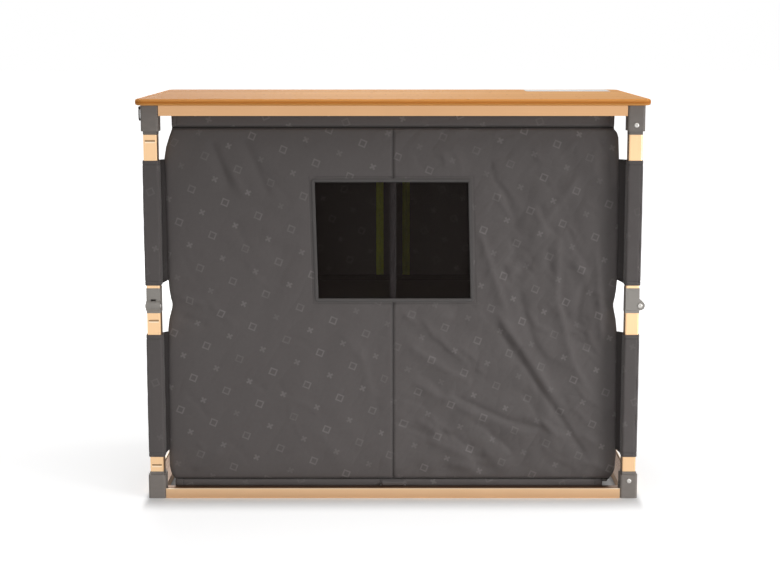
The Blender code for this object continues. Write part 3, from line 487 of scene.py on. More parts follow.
@dataclass(frozen=True)
class Cloth(Finish):
    """Coated woven polyester with sewn lines, a tone-on-tone print of diamonds and crosses, and
    painted shade along its seams.

    The map flat gives the point on the cut in metres, the map sewn gives the way along the
    nearest sewn line and the distance from it.
    """

    colour: Colour = display(86, 81, 80)
    wear_and_highlight: Colour = display(97, 92, 91)
    print_colour: Colour = display(124, 119, 118)
    thread: Colour = display(66, 63, 62)
    # seam is the colour of the painted shade along the seams.
    seam: Colour = display(40, 37, 36)
    printed: float = 0.58
    print_pitch: float = 0.052
    print_turn: float = 0.4
    diamond: float = 0.0086
    cross: float = 0.0066
    line: float = 0.002
    blur: float = 0.0013
    seams: tuple[float, ...] = ()
    crinkle: float = 0.45
    calm_side: float = 0.45
    weave: float = 0.0008
    stitch: float = 0.0034

    def motifs(self, graph: Graph, across: Socket, along: Socket) -> Socket:
        """Return where the print is.

        Args:
            graph: the material's graph.
            across: the place across the cut in metres.
            along: the place along the cut in metres.

        Returns:
            1 on a printed line and 0 elsewhere.
        """
        cells, offsets = [], []
        for value in (across, along):
            cell = graph.math("DIVIDE", value, self.print_pitch)
            cells.append(graph.math("FLOOR", cell))
            centred = graph.minus(graph.math("FRACT", cell), 0.5)
            offsets.append(graph.times(graph.math("ABSOLUTE", centred), self.print_pitch))
        odd = graph.math("FRACT", graph.times(graph.plus(cells[0], cells[1]), 0.5))
        odd = graph.math("GREATER_THAN", odd, 0.25)
        soft = self.blur
        ring = graph.band(graph.plus(offsets[0], offsets[1]), self.diamond, self.line, soft)
        thin = graph.band(graph.math("MINIMUM", offsets[0], offsets[1]), 0.0, self.line, soft)
        short = graph.band(graph.larger(offsets[0], offsets[1]), 0.0, self.cross, soft)
        crosses = graph.times(graph.times(thin, short), odd)
        diamonds = graph.times(ring, graph.minus(1.0, odd))
        return graph.larger(crosses, diamonds)

    def creases(self, graph: Graph, place: Socket) -> Socket:
        """Return the height of small creases that run down to the right, seen from behind."""
        slanted = graph.turn(place, (0, 0.75, 0))
        ridges = []
        for scale, long in ((17.0, 0.42), (41.0, 0.5)):
            wave = graph.noise(graph.stretch(slanted, (1, 1, long)), scale, 1.5)
            ridges.append(graph.math("ABSOLUTE", graph.minus(wave, 0.5)))
        height = graph.math("MULTIPLY_ADD", ridges[1], 0.4, ridges[0])
        across = graph.split(place)[Axis.X.value]
        lively = graph.minus(1.0, graph.ease(across, -0.1, 0.2))
        return graph.times(height, graph.spread(lively, self.calm_side, 1.0))

    def paint(self, graph: Graph) -> None:
        """Paint the weave, the print, painted shade along the seams, the creases and the stitches.
        """
        place = graph.place()
        flat = graph.map("flat")
        across, along, _ = graph.split(flat)
        print_across, print_along, _ = graph.split(graph.turn(flat, (0, 0, self.print_turn)))
        run, away, _ = graph.split(graph.map("sewn"))
        cloud = graph.noise(place, 7.0, 3)
        rub = graph.noise(place, 140.0, 4, 0.65)
        colour = graph.mix(graph.times(graph.plus(cloud, rub), 0.5), self.colour, self.wear_and_highlight)
        motifs = self.motifs(graph, print_across, print_along)
        fade = graph.ease(graph.noise(place, 13.0, 2), 0.36, 0.64)
        fade = graph.plus(graph.spread(fade, 0.1, 0.7), graph.times(rub, 0.5))
        patchy = graph.times(motifs, graph.times(fade, self.printed))
        colour = graph.mix(patchy, colour, self.print_colour)
        # Painted shade: a dark line along each seam line, where the cloth turns in.
        for line_at in self.seams:
            pinch = graph.band(graph.math("ABSOLUTE", across), line_at, 0.0009, 0.0006)
            colour = graph.mix(graph.times(pinch, 0.8), colour, self.seam)
        thread = graph.times(graph.dashes(run, self.stitch), graph.band(away, 0.0, 0.0005, 0.0002))
        colour = graph.mix(graph.times(thread, 0.7), colour, self.thread)
        groove = graph.band(away, 0.0, 0.0014, 0.0009)
        weave = graph.times(graph.wave(across, self.weave), graph.wave(along, self.weave))
        normal = graph.bump(self.creases(graph, place), 0.011, self.crinkle)
        normal = graph.bump(weave, 0.00005, 0.6, normal)
        normal = graph.bump(graph.minus(thread, groove), 0.0005, 0.8, normal)
        graph.surface(colour, graph.math("MULTIPLY_ADD", motifs, -0.12, 0.72), normal,
                      Specular_IOR_Level=0.34, Sheen_Weight=0.1, Sheen_Roughness=0.45)


@dataclass(frozen=True)
class Net(Finish):
    """Fine dark window net that lets about half of the light through."""

    colour: Colour = display(36, 31, 29)
    pale: Colour = display(48, 42, 39)
    pitch: float = 0.0012
    open_share: float = 0.76

    def paint(self, graph: Graph) -> None:
        """Cut the holes between the threads."""
        across, along, _ = graph.split(graph.map("flat"))
        rows = [graph.dashes(value, self.pitch, self.open_share / 2) for value in (across, along)]
        fuzz = graph.noise(graph.place(), 90.0, 3)
        graph.surface(graph.mix(fuzz, self.colour, self.pale), 0.9, graph.bump(fuzz, 0.0004, 0.4),
                      Specular_IOR_Level=0.06, Alpha=graph.minus(1.0, graph.times(*rows)))


@dataclass(frozen=True)
class Tape(Finish):
    """Ribbed woven tape with a row of stitches near each edge.

    The map flat gives the way along the tape and the place across it from its middle.
    """

    colour: Colour = display(84, 80, 79)
    rib: Colour = display(74, 71, 70)
    half_width: float = 0.0038
    margin: float = 0.0012
    rib_pitch: float = 0.0011
    stitch: float = 0.0034

    def paint(self, graph: Graph) -> None:
        """Paint the ribs and the two rows of stitches."""
        along, across, _ = graph.split(graph.map("flat"))
        ribs = graph.wave(along, self.rib_pitch)
        away = graph.math("ABSOLUTE", across)
        row = graph.band(away, self.half_width - self.margin, 0.0004, 0.0002)
        thread = graph.times(row, graph.dashes(along, self.stitch))
        fuzz = graph.noise(graph.place(), 120.0, 4)
        colour = graph.mix(graph.spread(fuzz, 0.0, 0.8), self.colour, self.rib)
        colour = graph.mix(graph.times(thread, 0.6), colour, self.rib)
        normal = graph.bump(ribs, 0.00008, 0.7)
        normal = graph.bump(graph.minus(thread, row), 0.0004, 0.8, normal)
        graph.surface(colour, 0.78, normal, Sheen_Weight=0.15, Sheen_Roughness=0.5)


@dataclass(frozen=True)
class Coil(Finish):
    """Nylon zip coil: fine slanted teeth along the run of the zip."""

    colour: Colour = display(158, 166, 52)
    dark: Colour = display(96, 102, 28)
    pitch: float = 0.0022

    def paint(self, graph: Graph) -> None:
        """Paint the teeth across the run."""
        along, across, _ = graph.split(graph.map("flat"))
        slanted = graph.math("MULTIPLY_ADD", graph.math("ABSOLUTE", across), 0.5, along)
        teeth = graph.wave(slanted, self.pitch)
        share = graph.ease(teeth, -0.6, 0.6)
        fuzz = graph.noise(graph.place(), 200.0, 2)
        colour = graph.mix(share, self.dark, self.colour)
        graph.surface(colour, graph.spread(fuzz, 0.35, 0.5), graph.bump(share, 0.0005, 0.9))


@dataclass(frozen=True)
class Panel(Finish):
    """Thin moulded panel with a leathery grain."""

    colour: Colour = display(112, 108, 103)
    pale: Colour = display(128, 124, 118)

    def paint(self, graph: Graph) -> None:
        """Paint the grain and the faint clouds."""
        place = graph.place()
        cells = graph.node("TexVoronoi", {"Vector": place, "Scale": 420.0}, feature="F1")
        grain = cells.outputs["Distance"]
        cloud = graph.noise(place, 11.0, 3)
        graph.surface(graph.mix(cloud, self.colour, self.pale), graph.spread(cloud, 0.5, 0.64),
                      graph.bump(grain, 0.00018, 0.5))


@dataclass(frozen=True)
class StudioWhite(Finish):
    """Pale floor that shows white to the camera and keeps the object's shadow; close to the
    cupboard's footprint its glow is weaker, which adds a painted contact shadow there.
    """

    base: float = 0.76
    close_glow: float = 0.06
    near_glow: float = 0.57
    half_length: float = 0.503
    half_depth: float = 0.229
    shadow_reach: float = 0.1
    end_weight: float = 5.5
    near: float = 1.3
    far: float = 2.6

    def paint(self, graph: Graph) -> None:
        """Add a glow that only the camera and its reflections see to a plain pale surface, weaker
        close to the footprint as a painted contact shadow.
        """
        seen, place = graph.seen(), graph.place()
        away = graph.node("VectorMath", {0: place}, operation="LENGTH").outputs["Value"]
        distance = graph.ease(away, self.near, self.far)
        sides = graph.split(place)
        gaps = []
        for side, half, weight in ((sides[0], self.half_length, self.end_weight),
                                   (sides[1], self.half_depth, 1.0)):
            outside = graph.minus(graph.math("ABSOLUTE", side), half)
            gaps.append(graph.times(weight, graph.larger(outside, 0.0)))
        gap = graph.math("SQRT", graph.plus(*(graph.times(part, part) for part in gaps)))
        # Painted shadow: close to the footprint the glow drops toward close_glow, so the floor
        # there shows darker than its light alone makes it, on top of the real shadow.
        close = graph.ease(gap, 0.0, self.shadow_reach)
        close = graph.spread(close, self.close_glow, self.near_glow)
        strength = graph.plus(close, graph.times(distance, 1.0 - self.near_glow))
        level = graph.spread(graph.noise(place, 3.0, 2), self.base, self.base + 0.02)
        pale = graph.node("CombineColor", {0: level, 1: level, 2: level}).outputs[0]
        matt = graph.node("BsdfDiffuse", {"Color": pale}).outputs[0]
        shown = graph.times(seen, strength)
        glow = graph.node("Emission", {"Color": (1, 1, 1, 1), "Strength": shown}).outputs[0]
        graph.end(graph.node("AddShader", {0: matt, 1: glow}).outputs[0])


BAMBOO = Bamboo("bamboo_board")
PLATE = BrushedPlate("brushed_plate")
# The top rails get a darker copy of the rails' anodised colour: painted shade under the board. The
# low rails keep about the tubes' colour.
SHADED_TOP_RAILS = {"colour": display(218, 173, 129), "shade": display(180, 134, 94)}
# The low rails' lip gets a painted highlight and their ledge gets painted shade.
LOW_RAILS = {"colour": display(250, 208, 164), "shade": display(208, 162, 120),
             "lip": 0.021, "ledge": 0.0175}
TOP_RAIL_LONG, TOP_RAIL_SHORT, LOW_RAIL_LONG, LOW_RAIL_SHORT = (
    Aluminium(f"{level}_rail_grain_{axis.name.lower()}", grain=axis, **looks)
    for level, looks in (("top", SHADED_TOP_RAILS), ("low", LOW_RAILS)) for axis in (Axis.X, Axis.Y))
# The crossbar's dark colour is painted shade, so that it sinks into the shade under the bottom
# strip.
SHADED_BAR = Aluminium("shaded_bar_grain_y", grain=Axis.Y, colour=display(74, 62, 52), shade=display(52, 44, 38))
TUBE_FRONT = Aluminium("tube_crimped_front", crimped=Axis.Y)
TUBE_SIDE = Aluminium("tube_crimped_side", crimped=Axis.X)
MOULDING = Moulding("grey_moulding")
# A paler copy of the grey moulding for the knees: painted light.
LIT_KNEE_MOULDING = Moulding("grey_knee_moulding", colour=display(152, 147, 141),
                         pale=display(168, 163, 157), roughness=0.42)
BRIGHT_STEEL = Steel("bright_steel")
DARK_STEEL = Steel("dark_steel", colour=display(92, 89, 84), shade=display(50, 48, 46),
                   roughness=0.34)
CLOTH = Cloth("printed_cloth")
BACK_CLOTH = Cloth("printed_back_cloth", seams=(0.0, LAYOUT.body_length), crinkle=0.8)
SLEEVE_CLOTH = Cloth("sleeve_cloth", wear_and_highlight=display(95, 90, 89), printed=0.4)
# Dark cloth: on the webs beside the legs its darkness is painted shade; the shelf band inside is
# made of it too.
LINING_AND_SHADE = Cloth("lining_and_shade_cloth", colour=display(38, 34, 33), wear_and_highlight=display(50, 45, 44), printed=0.0)
# Dark cloth for the strips over the body's top and bottom seams: painted shade in the crease there.
SEAM_SHADOW = Cloth("seam_shadow_strip", colour=display(30, 28, 27), wear_and_highlight=display(40, 38, 37), printed=0.0)
NET = Net("window_net")
TAPE = Tape("binding_tape")
WIDE_TAPE = Tape("divider_tape", colour=display(88, 82, 84), rib=display(70, 65, 67),
                 half_width=0.0065)
ZIP_TAPE = Tape("zip_tape", colour=display(204, 208, 66), rib=display(164, 170, 50),
                half_width=0.0042, rib_pitch=0.0009)
COIL = Coil("zip_coil")
PANEL = Panel("thin_panel")
FLOOR = StudioWhite("studio_floor")


@dataclass(frozen=True)
class Crumple:
    """Settings for how cloth would gather toward a height as the cupboard folds, leaning inward if
    it must; nothing here reads them.
    """

    height: float
    keep: float
    lean: float = 0.0

    def apply(self, piece: bpy.types.Object) -> None:
        """Give a piece its own copy of its mesh, once its mesh is final."""
        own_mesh(piece)


BODY_CRUMPLE = Crumple(0.0223, 0.088)
BACK_CRUMPLE = Crumple(0.0223, 0.088, lean=0.006)
DOOR_CRUMPLE = Crumple(0.78, 0.068)


def placed(name: str, data: bpy.types.ID) -> bpy.types.Object:
    """Put a mesh, lamp or camera in the scene as an object."""
    made = bpy.data.objects.new(name, data)
    bpy.context.scene.collection.objects.link(made)
    return made


@dataclass
class Bench:
    """Turns finished meshes into named pieces that ride on the cupboard's bodies."""

    made: list[str] = field(default_factory=list)

    def piece(self, name: str, shape: Form, finish: Finish, body: str, slot: str,
              crumple: Optional[Crumple] = None, thickness: float = 0.0,
              crisp: bool = False) -> bpy.types.Object:
        """Make a piece.

        Args:
            name: the piece's name.
            shape: its mesh in place, which this call uses up.
            finish: its finish.
            body: the body that it rides on.
            slot: not used.
            crumple: how it would gather as the cupboard folds, if it does; its apply only gives the
                piece its own mesh.
            thickness: a wall to give to an open sheet.
            crisp: whether its sharp corners stay sharp.

        Returns:
            The new object.
        """
        mesh = bpy.data.meshes.new(name)
        shape.to_mesh(mesh)
        shape.free()
        mesh.shade_smooth()
        if crisp:
            mesh.set_sharp_from_angle(angle=SHARP_ANGLE)
        mesh.materials.append(finish.material())
        made = placed(name, mesh)
        if thickness:
            wall = made.modifiers.new("wall", "SOLIDIFY")
            wall.thickness = thickness
            wall.offset = 0.0
        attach(made, body)
        if crumple is not None:
            crumple.apply(made)
        self.made.append(name)
        LOG.info("%s rides on %s, %d faces", name, body, len(mesh.polygons))
        return made

    def sew(self, name: str, cut: "Cut", finish: Finish, crumple: Optional[Crumple],
            thickness: float = TRIM_WALL, body: str = "base",
            slot: str = "dark_cloth") -> bpy.types.Object:
        """Make a cloth piece from its cut; the other arguments are those of piece."""
        return self.piece(name, cut.mesh(), finish, body, slot, crumple, thickness)

    def dress(self, names: Sequence[str], finish: Finish) -> None:
        """Give a finish to solids that keep their shape."""
        for name in names:
            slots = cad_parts[name].data.materials
            slots.clear()
            slots.append(finish.material())
            LOG.info("%s keeps its solid, finish %s", name, finish.name)


@dataclass
class Cut:
    """A piece of cloth as it is cut, with the rule that puts its points in place."""

    columns: Array
    rows: Array
    place: Placing
    sewn: Optional[Placing] = None
    openings: tuple[tuple[float, float, float, float], ...] = ()
    closed: bool = False

    @property
    def flat(self) -> tuple[float, float]:
        """Return the width and length of the cut."""
        return (float(np.ptp(self.columns)), float(np.ptp(self.rows)))

    @property
    def area(self) -> float:
        """Return the area of the cut without its openings."""
        width, length = self.flat
        holes = sum((right - left) * (top - low) for left, right, low, top in self.openings)
        return width * length - holes

    def mesh(self) -> Form:
        """Return the cut's mesh in place, with its two maps."""
        shape = bmesh.new()
        wide, long = len(self.columns) - 1, len(self.rows) - 1
        bmesh.ops.create_grid(shape, x_segments=wide, y_segments=long, size=0.5)
        grid = np.array([vertex.co[:2] for vertex in shape.verts])
        share = (grid - grid.min(axis=0)) / np.ptp(grid, axis=0)
        across = self.columns[np.rint(share[:, 0] * wide).astype(int)]
        along = self.rows[np.rint(share[:, 1] * long).astype(int)]
        sewn = self.sewn(across, along) if self.sewn else stacked(across, np.full_like(across, FAR))
        points = self.place(across, along)
        flat_map = shape.loops.layers.uv.new("flat")
        sewn_map = shape.loops.layers.uv.new("sewn")
        shape.verts.index_update()
        for face in shape.faces:
            for loop in face.loops:
                index = loop.vert.index
                loop[flat_map].uv = (across[index], along[index])
                loop[sewn_map].uv = sewn[index]
        spare = [face for face in shape.faces if self.is_open(face, flat_map)]
        for vertex, point in zip(shape.verts, points):
            vertex.co = point
        bmesh.ops.delete(shape, geom=spare, context="FACES")
        if self.closed:
            bmesh.ops.remove_doubles(shape, verts=shape.verts, dist=WELD)
        return shape

    def is_open(self, face: bmesh.types.BMFace, flat_map: bmesh.types.BMLayerItem) -> bool:
        """Say whether a face lies in one of the cut's openings."""
        middle = sum((loop[flat_map].uv for loop in face.loops), Vector((0, 0))) / len(face.loops)
        return any(left < middle.x < right and low < middle.y < top
                   for left, right, low, top in self.openings)


def even(start: float, end: float, step: float) -> Array:
    """Return evenly spaced values from start to end, about a step apart."""
    return np.linspace(start, end, max(2, round(abs(end - start) / step) + 1))


def refined(start: float, end: float, step: float, lines: Sequence[float], beside: float) -> Array:
    """Return spaced values with extra ones at and beside some lines.

    Args:
        start: the lowest value.
        end: the highest value.
        step: the spacing away from the lines.
        lines: values that get two extra ones on each side.
        beside: how far apart those lie.

    Returns:
        The values in order, with none closer than a fraction of a millimetre.
    """
    special = sorted({round(line + count * beside, 6)
                      for line in lines for count in (-2, -1, 0, 1, 2)})
    special = [value for value in special if start <= value <= end]
    plain = [value for value in even(start, end, step)
             if all(abs(value - other) > step * 0.45 for other in special) or value in (start, end)]
    return with_extra(plain, special)


def with_extra(values: Iterable[float], extra: Iterable[float]) -> Array:
    """Return values and some extra ones in rising order, each once."""
    return np.array(sorted(set(values) | set(extra)))


def stacked(*parts: Array) -> Points:
    """Return points from their separate parts."""
    return np.stack(parts, axis=-1)


def distances(spots: Array) -> Array:
    """Return how far along a line of points each of them lies."""
    return np.concatenate([[0], np.cumsum(np.linalg.norm(np.diff(spots, axis=0), axis=1))])


def follow(run: Array, runs: Array, *tables: Array) -> tuple[Array, ...]:
    """Return each column of some tables at lengths along the path that they describe."""
    return tuple(np.interp(run, runs, column) for table in tables for column in table.T)


def smooth_step(value: Array) -> Array:
    """Return 0 below 0, 1 above 1 and a smooth step between them."""
    share = np.clip(value, 0, 1)
    return share * share * (3 - 2 * share)


@dataclass(frozen=True)
class Fold:
    """A fold in hanging cloth along a line of points (across, height)."""

    line: tuple[tuple[float, float], ...]
    height: float
    width: float
    lean: float = 0.0
    crisp: float = 1.6

    def lift(self, across: Array, up: Array) -> Array:
        """Return how far the fold lifts each point.

        Args:
            across: where the points are across the panel.
            up: how high they are.

        Returns:
            The lift, largest along the line and nothing at its ends.
        """
        spots = np.array(self.line)
        lengths = np.linalg.norm(np.diff(spots, axis=0), axis=1)
        starts = np.concatenate([[0], np.cumsum(lengths)])
        nearest = np.full(across.shape, np.inf)
        run, side = np.zeros(across.shape), np.zeros(across.shape)
        for index, length in enumerate(lengths):
            way = (spots[index + 1] - spots[index]) / length
            offset = np.stack([across - spots[index][0], up - spots[index][1]])
            along = np.clip(way[0] * offset[0] + way[1] * offset[1], 0, length)
            away = np.hypot(offset[0] - way[0] * along, offset[1] - way[1] * along)
            closer = away < nearest
            nearest = np.where(closer, away, nearest)
            run = np.where(closer, starts[index] + along, run)
            side = np.where(closer, np.sign(way[0] * offset[1] - way[1] * offset[0]), side)
        share = run / starts[-1]
        ends = smooth_step(share / 0.22) * smooth_step((1 - share) / 0.22)
        width = self.width * (1 + self.lean * side)
        return self.height * ends * np.exp(-(nearest / width) ** self.crisp)


@dataclass(frozen=True)
class Ripples:
    """Small random ripples in cloth, the same at every run."""

    seed: int
    height: float
    count: int = 26
    shortest: float = 0.045
    longest: float = 0.16

    def lift(self, across: Array, up: Array) -> Array:
        """Return the ripples' lift at each point."""
        chance = np.random.default_rng(self.seed)
        total = np.zeros(across.shape)
        for _ in range(self.count):
            angle, phase = chance.uniform(0, math.pi), chance.uniform(0, math.tau)
            length = chance.uniform(self.shortest, self.longest)
            centre = chance.uniform(-0.45, 0.45), chance.uniform(0.0, 0.8)
            reach = length * chance.uniform(1.0, 2.2)
            along = across * math.cos(angle) + up * math.sin(angle)
            away = (across - centre[0]) ** 2 + (up - centre[1]) ** 2
            total += np.sin(math.tau * along / length + phase) * np.exp(-away / reach ** 2)
        return total * self.height


@dataclass(frozen=True)
class Creases:
    """Short creases strewn over a panel, the same at every run."""

    seed: int
    count: int
    across: tuple[float, float]
    up: tuple[float, float]
    low_way: float
    high_way: float
    height: float

    def folds(self) -> tuple[Fold, ...]:
        """Return the creases; their way turns from low_way at the bottom to high_way at the top."""
        chance = np.random.default_rng(self.seed)
        made = []
        for _ in range(self.count):
            middle = np.array([chance.uniform(*self.across), chance.uniform(*self.up)])
            share = (middle[1] - self.up[0]) / (self.up[1] - self.up[0])
            way = self.low_way + (self.high_way - self.low_way) * share + chance.normal(0, 0.22)
            half = chance.uniform(0.016, 0.06)
            run = half * np.array([math.cos(way), math.sin(way)])
            bend = chance.uniform(-0.3, 0.3) * np.array([-run[1], run[0]])
            line = tuple(tuple(float(value) for value in spot)
                         for spot in (middle - run, middle + bend, middle + run))
            height = self.height * chance.uniform(0.45, 1.0) * chance.choice((-1.0, 1.0))
            width, lean = chance.uniform(0.0045, 0.009), chance.uniform(0.0, 0.5)
            made.append(Fold(line, float(height), width, lean, 1.3))
        return tuple(made)


@dataclass
class BodyShape:
    """The outer shape of the sewn body: how long it is at each height, on each side."""

    right_edge: tuple[tuple[float, float], ...] = (
        (0.03, 0.4585), (0.036, 0.464), (0.045, 0.4675), (0.056, 0.4697), (0.083, 0.4704),
        (0.2, 0.4697), (0.3, 0.469), (0.35, 0.4672), (0.372, 0.4645), (0.388, 0.4603),
        (0.398, 0.4577),
        (0.406, 0.4577), (0.416, 0.4603), (0.432, 0.463), (0.46, 0.4652), (0.56, 0.4665),
        (0.66, 0.4678), (0.706, 0.468), (0.73, 0.464), (0.75, 0.4575), (0.768, 0.4508))
    left_edge: tuple[tuple[float, float], ...] = (
        (0.03, 0.4545), (0.038, 0.462), (0.05, 0.4665), (0.083, 0.469), (0.2, 0.468),
        (0.3, 0.4672), (0.35, 0.465), (0.372, 0.4625), (0.388, 0.459), (0.398, 0.4572),
        (0.406, 0.4574), (0.416, 0.4598), (0.432, 0.4622), (0.46, 0.4645), (0.56, 0.465),
        (0.66, 0.464), (0.706, 0.4628), (0.749, 0.4609), (0.76, 0.4575), (0.768, 0.4494))
    round_depth: float = 0.005
    round_reach: float = 0.011

    def half_length(self, up: Array, side: Array) -> Array:
        """Return the distance from the middle to the body's end.

        Args:
            up: heights.
            side: positive for the right end and negative for the left.

        Returns:
            The half length at each height.
        """
        right, left = (np.interp(up, *np.array(edge).T)
                       for edge in (self.right_edge, self.left_edge))
        return np.where(side > 0, right, left)

    def across(self, flat: Array, up: Array, fixed: float = 0.25) -> Array:
        """Return where a point of a panel's cut lies, so that the cut ends at the body's end."""
        half = self.half_length(up, flat)
        outer = fixed + (np.abs(flat) - fixed) * (half - fixed) / (LAYOUT.body_length - fixed)
        return np.where(np.abs(flat) <= fixed, flat, np.sign(flat) * outer)

    def rounding(self, flat: Array, up: Array) -> Array:
        """Return how far a panel turns inward near its edges."""
        ends = LAYOUT.body_length - np.abs(flat)
        rims = np.minimum(LAYOUT.body_top - up, up - LAYOUT.body_bottom)
        turn = np.zeros(flat.shape)
        for away, reach in ((ends, self.round_reach), (rims, self.round_reach * 0.6)):
            share = np.clip(1 - away / reach, 0, 1)
            turn = np.maximum(turn, 1 - np.sqrt(1 - share ** 2 * 0.999))
        return turn * self.round_depth


SHAPE = BodyShape()


def loop_path(half_x: float, half_y: float, corner: float, step: float) -> tuple[Array, Array]:
    """Return a closed rounded rectangle as a path.

    Args:
        half_x: its half size along X.
        half_y: its half size along Y.
        corner: the radius of its corners.
        step: the spacing of its points.

    Returns:
        The lengths along the path and the points (x, y) there, the last one on the first.
    """
    spots = []
    for turn, (sign_x, sign_y) in enumerate(((1, 1), (-1, 1), (-1, -1), (1, -1))):
        for angle in np.linspace(0, math.pi / 2, 7) + turn * math.pi / 2:
            spots.append((sign_x * (half_x - corner) + corner * math.cos(angle),
                          sign_y * (half_y - corner) + corner * math.sin(angle)))
    spots = np.array(spots + spots[:1])
    lengths = distances(spots)
    marks = sorted(set(np.round(np.concatenate([lengths, even(0, lengths[-1], step)]), 6)))
    kept = [marks[0]] + [mark for before, mark in zip(marks, marks[1:]) if mark - before > 1e-4]
    runs = np.array(kept)
    return runs, stacked(*follow(runs, lengths, spots))


def outward_of(path: Array) -> Array:
    """Return the unit vectors that point out of a closed path of loop_path."""
    way = np.gradient(path, axis=0)
    way[0] = way[-1] = path[1] - path[-2]
    outward = stacked(way[:, 1], -way[:, 0])
    return outward / np.linalg.norm(outward, axis=1)[:, None]


def turned(profile: Sequence[tuple[float, float]], steps: int) -> Form:
    """Turn a small part on a lathe.

    Args:
        profile: points (radius, height), the first and last on the axis.
        steps: the number of facets round it.

    Returns:
        The closed mesh round the Z axis.
    """
    shape = bmesh.new()
    spots = [shape.verts.new((radius, 0, height)) for radius, height in profile]
    lines = [shape.edges.new(pair) for pair in zip(spots, spots[1:])]
    bmesh.ops.spin(shape, geom=spots + lines, cent=(0, 0, 0), axis=(0, 0, 1), angle=math.tau,
                   steps=steps, use_merge=True, use_duplicate=False)
    bmesh.ops.remove_doubles(shape, verts=shape.verts, dist=WELD / 10)
    bmesh.ops.recalc_face_normals(shape, faces=shape.faces)
    return shape


def repeated(shape: Form, places: Sequence[Matrix]) -> Form:
    """Return a shape copied to several places, without the first one."""
    spots = shape.verts[:]
    first = spots + shape.edges[:] + shape.faces[:]
    for place in places:
        copy = bmesh.ops.duplicate(shape, geom=first)["geom"]
        copied = [item for item in copy if isinstance(item, bmesh.types.BMVert)]
        bmesh.ops.transform(shape, matrix=place, verts=copied)
    bmesh.ops.delete(shape, geom=spots, context="VERTS")
    return shape


def block(low: Sequence[float], high: Sequence[float], edge: float) -> Form:
    """Return a block between two corners with rounded edges."""
    shape = bmesh.new()
    size = Vector(high) - Vector(low)
    middle = (Vector(high) + Vector(low)) / 2
    placing = Matrix.Translation(middle) @ Matrix.Diagonal((*size, 1.0))
    bmesh.ops.create_cube(shape, size=1.0, matrix=placing)
    bmesh.ops.bevel(shape, geom=shape.edges[:], offset=edge, offset_type="OFFSET", affect="EDGES",
                    segments=2, profile=0.5, material=-1)
    return shape


def joined(parts: Sequence[Form]) -> Form:
    """Return several meshes as one, using them up."""
    whole = bmesh.new()
    for part in parts:
        carrier = bpy.data.meshes.new("carrier")
        part.to_mesh(carrier)
        part.free()
        whole.from_mesh(carrier)
        bpy.data.meshes.remove(carrier)
    return whole


class Corner(Enum):
    """A corner of the cupboard: its sides along X and Y and the turn of its leg."""

    REAR_RIGHT = (1, 1, 0)
    REAR_LEFT = (-1, 1, 90)
    FRONT_LEFT = (-1, -1, 180)
    FRONT_RIGHT = (1, -1, 270)

    @property
    def side_x(self) -> int:
        """Return the corner's side along X."""
        return self.value[0]

    @property
    def side_y(self) -> int:
        """Return the corner's side along Y."""
        return self.value[1]

    @property
    def key(self) -> str:
        """Return the corner's name in the solids."""
        return self.name.lower()

    def matrix(self, height: float = 0.0) -> Matrix:
        """Return the place of the leg's own frame, whose X is the hinge axis."""
        return (Matrix.Translation((self.side_x * LAYOUT.leg_x, self.side_y * LAYOUT.leg_y, height))
                @ Matrix.Rotation(math.radians(self.value[2]), 4, "Z"))


@dataclass
class Rivet:
    """A set rivet: a domed head with a dimple, over the head that the solid has."""

    radius: float = 0.005
    height: float = 0.0019
    dimple: float = 0.0017
    facets: int = 28

    def mesh(self) -> Form:
        """Return a head that stands on the plane below it and faces +Z."""
        radius, low, top = self.radius, -0.0001, self.height
        return turned(((0, low), (radius, low), (radius, top * 0.3), (radius * 0.93, top * 0.62),
                       (radius * 0.76, top * 0.86), (radius * 0.5, top), (self.dimple, top),
                       (self.dimple * 0.7, top * 0.72), (0, top * 0.66)), self.facets)


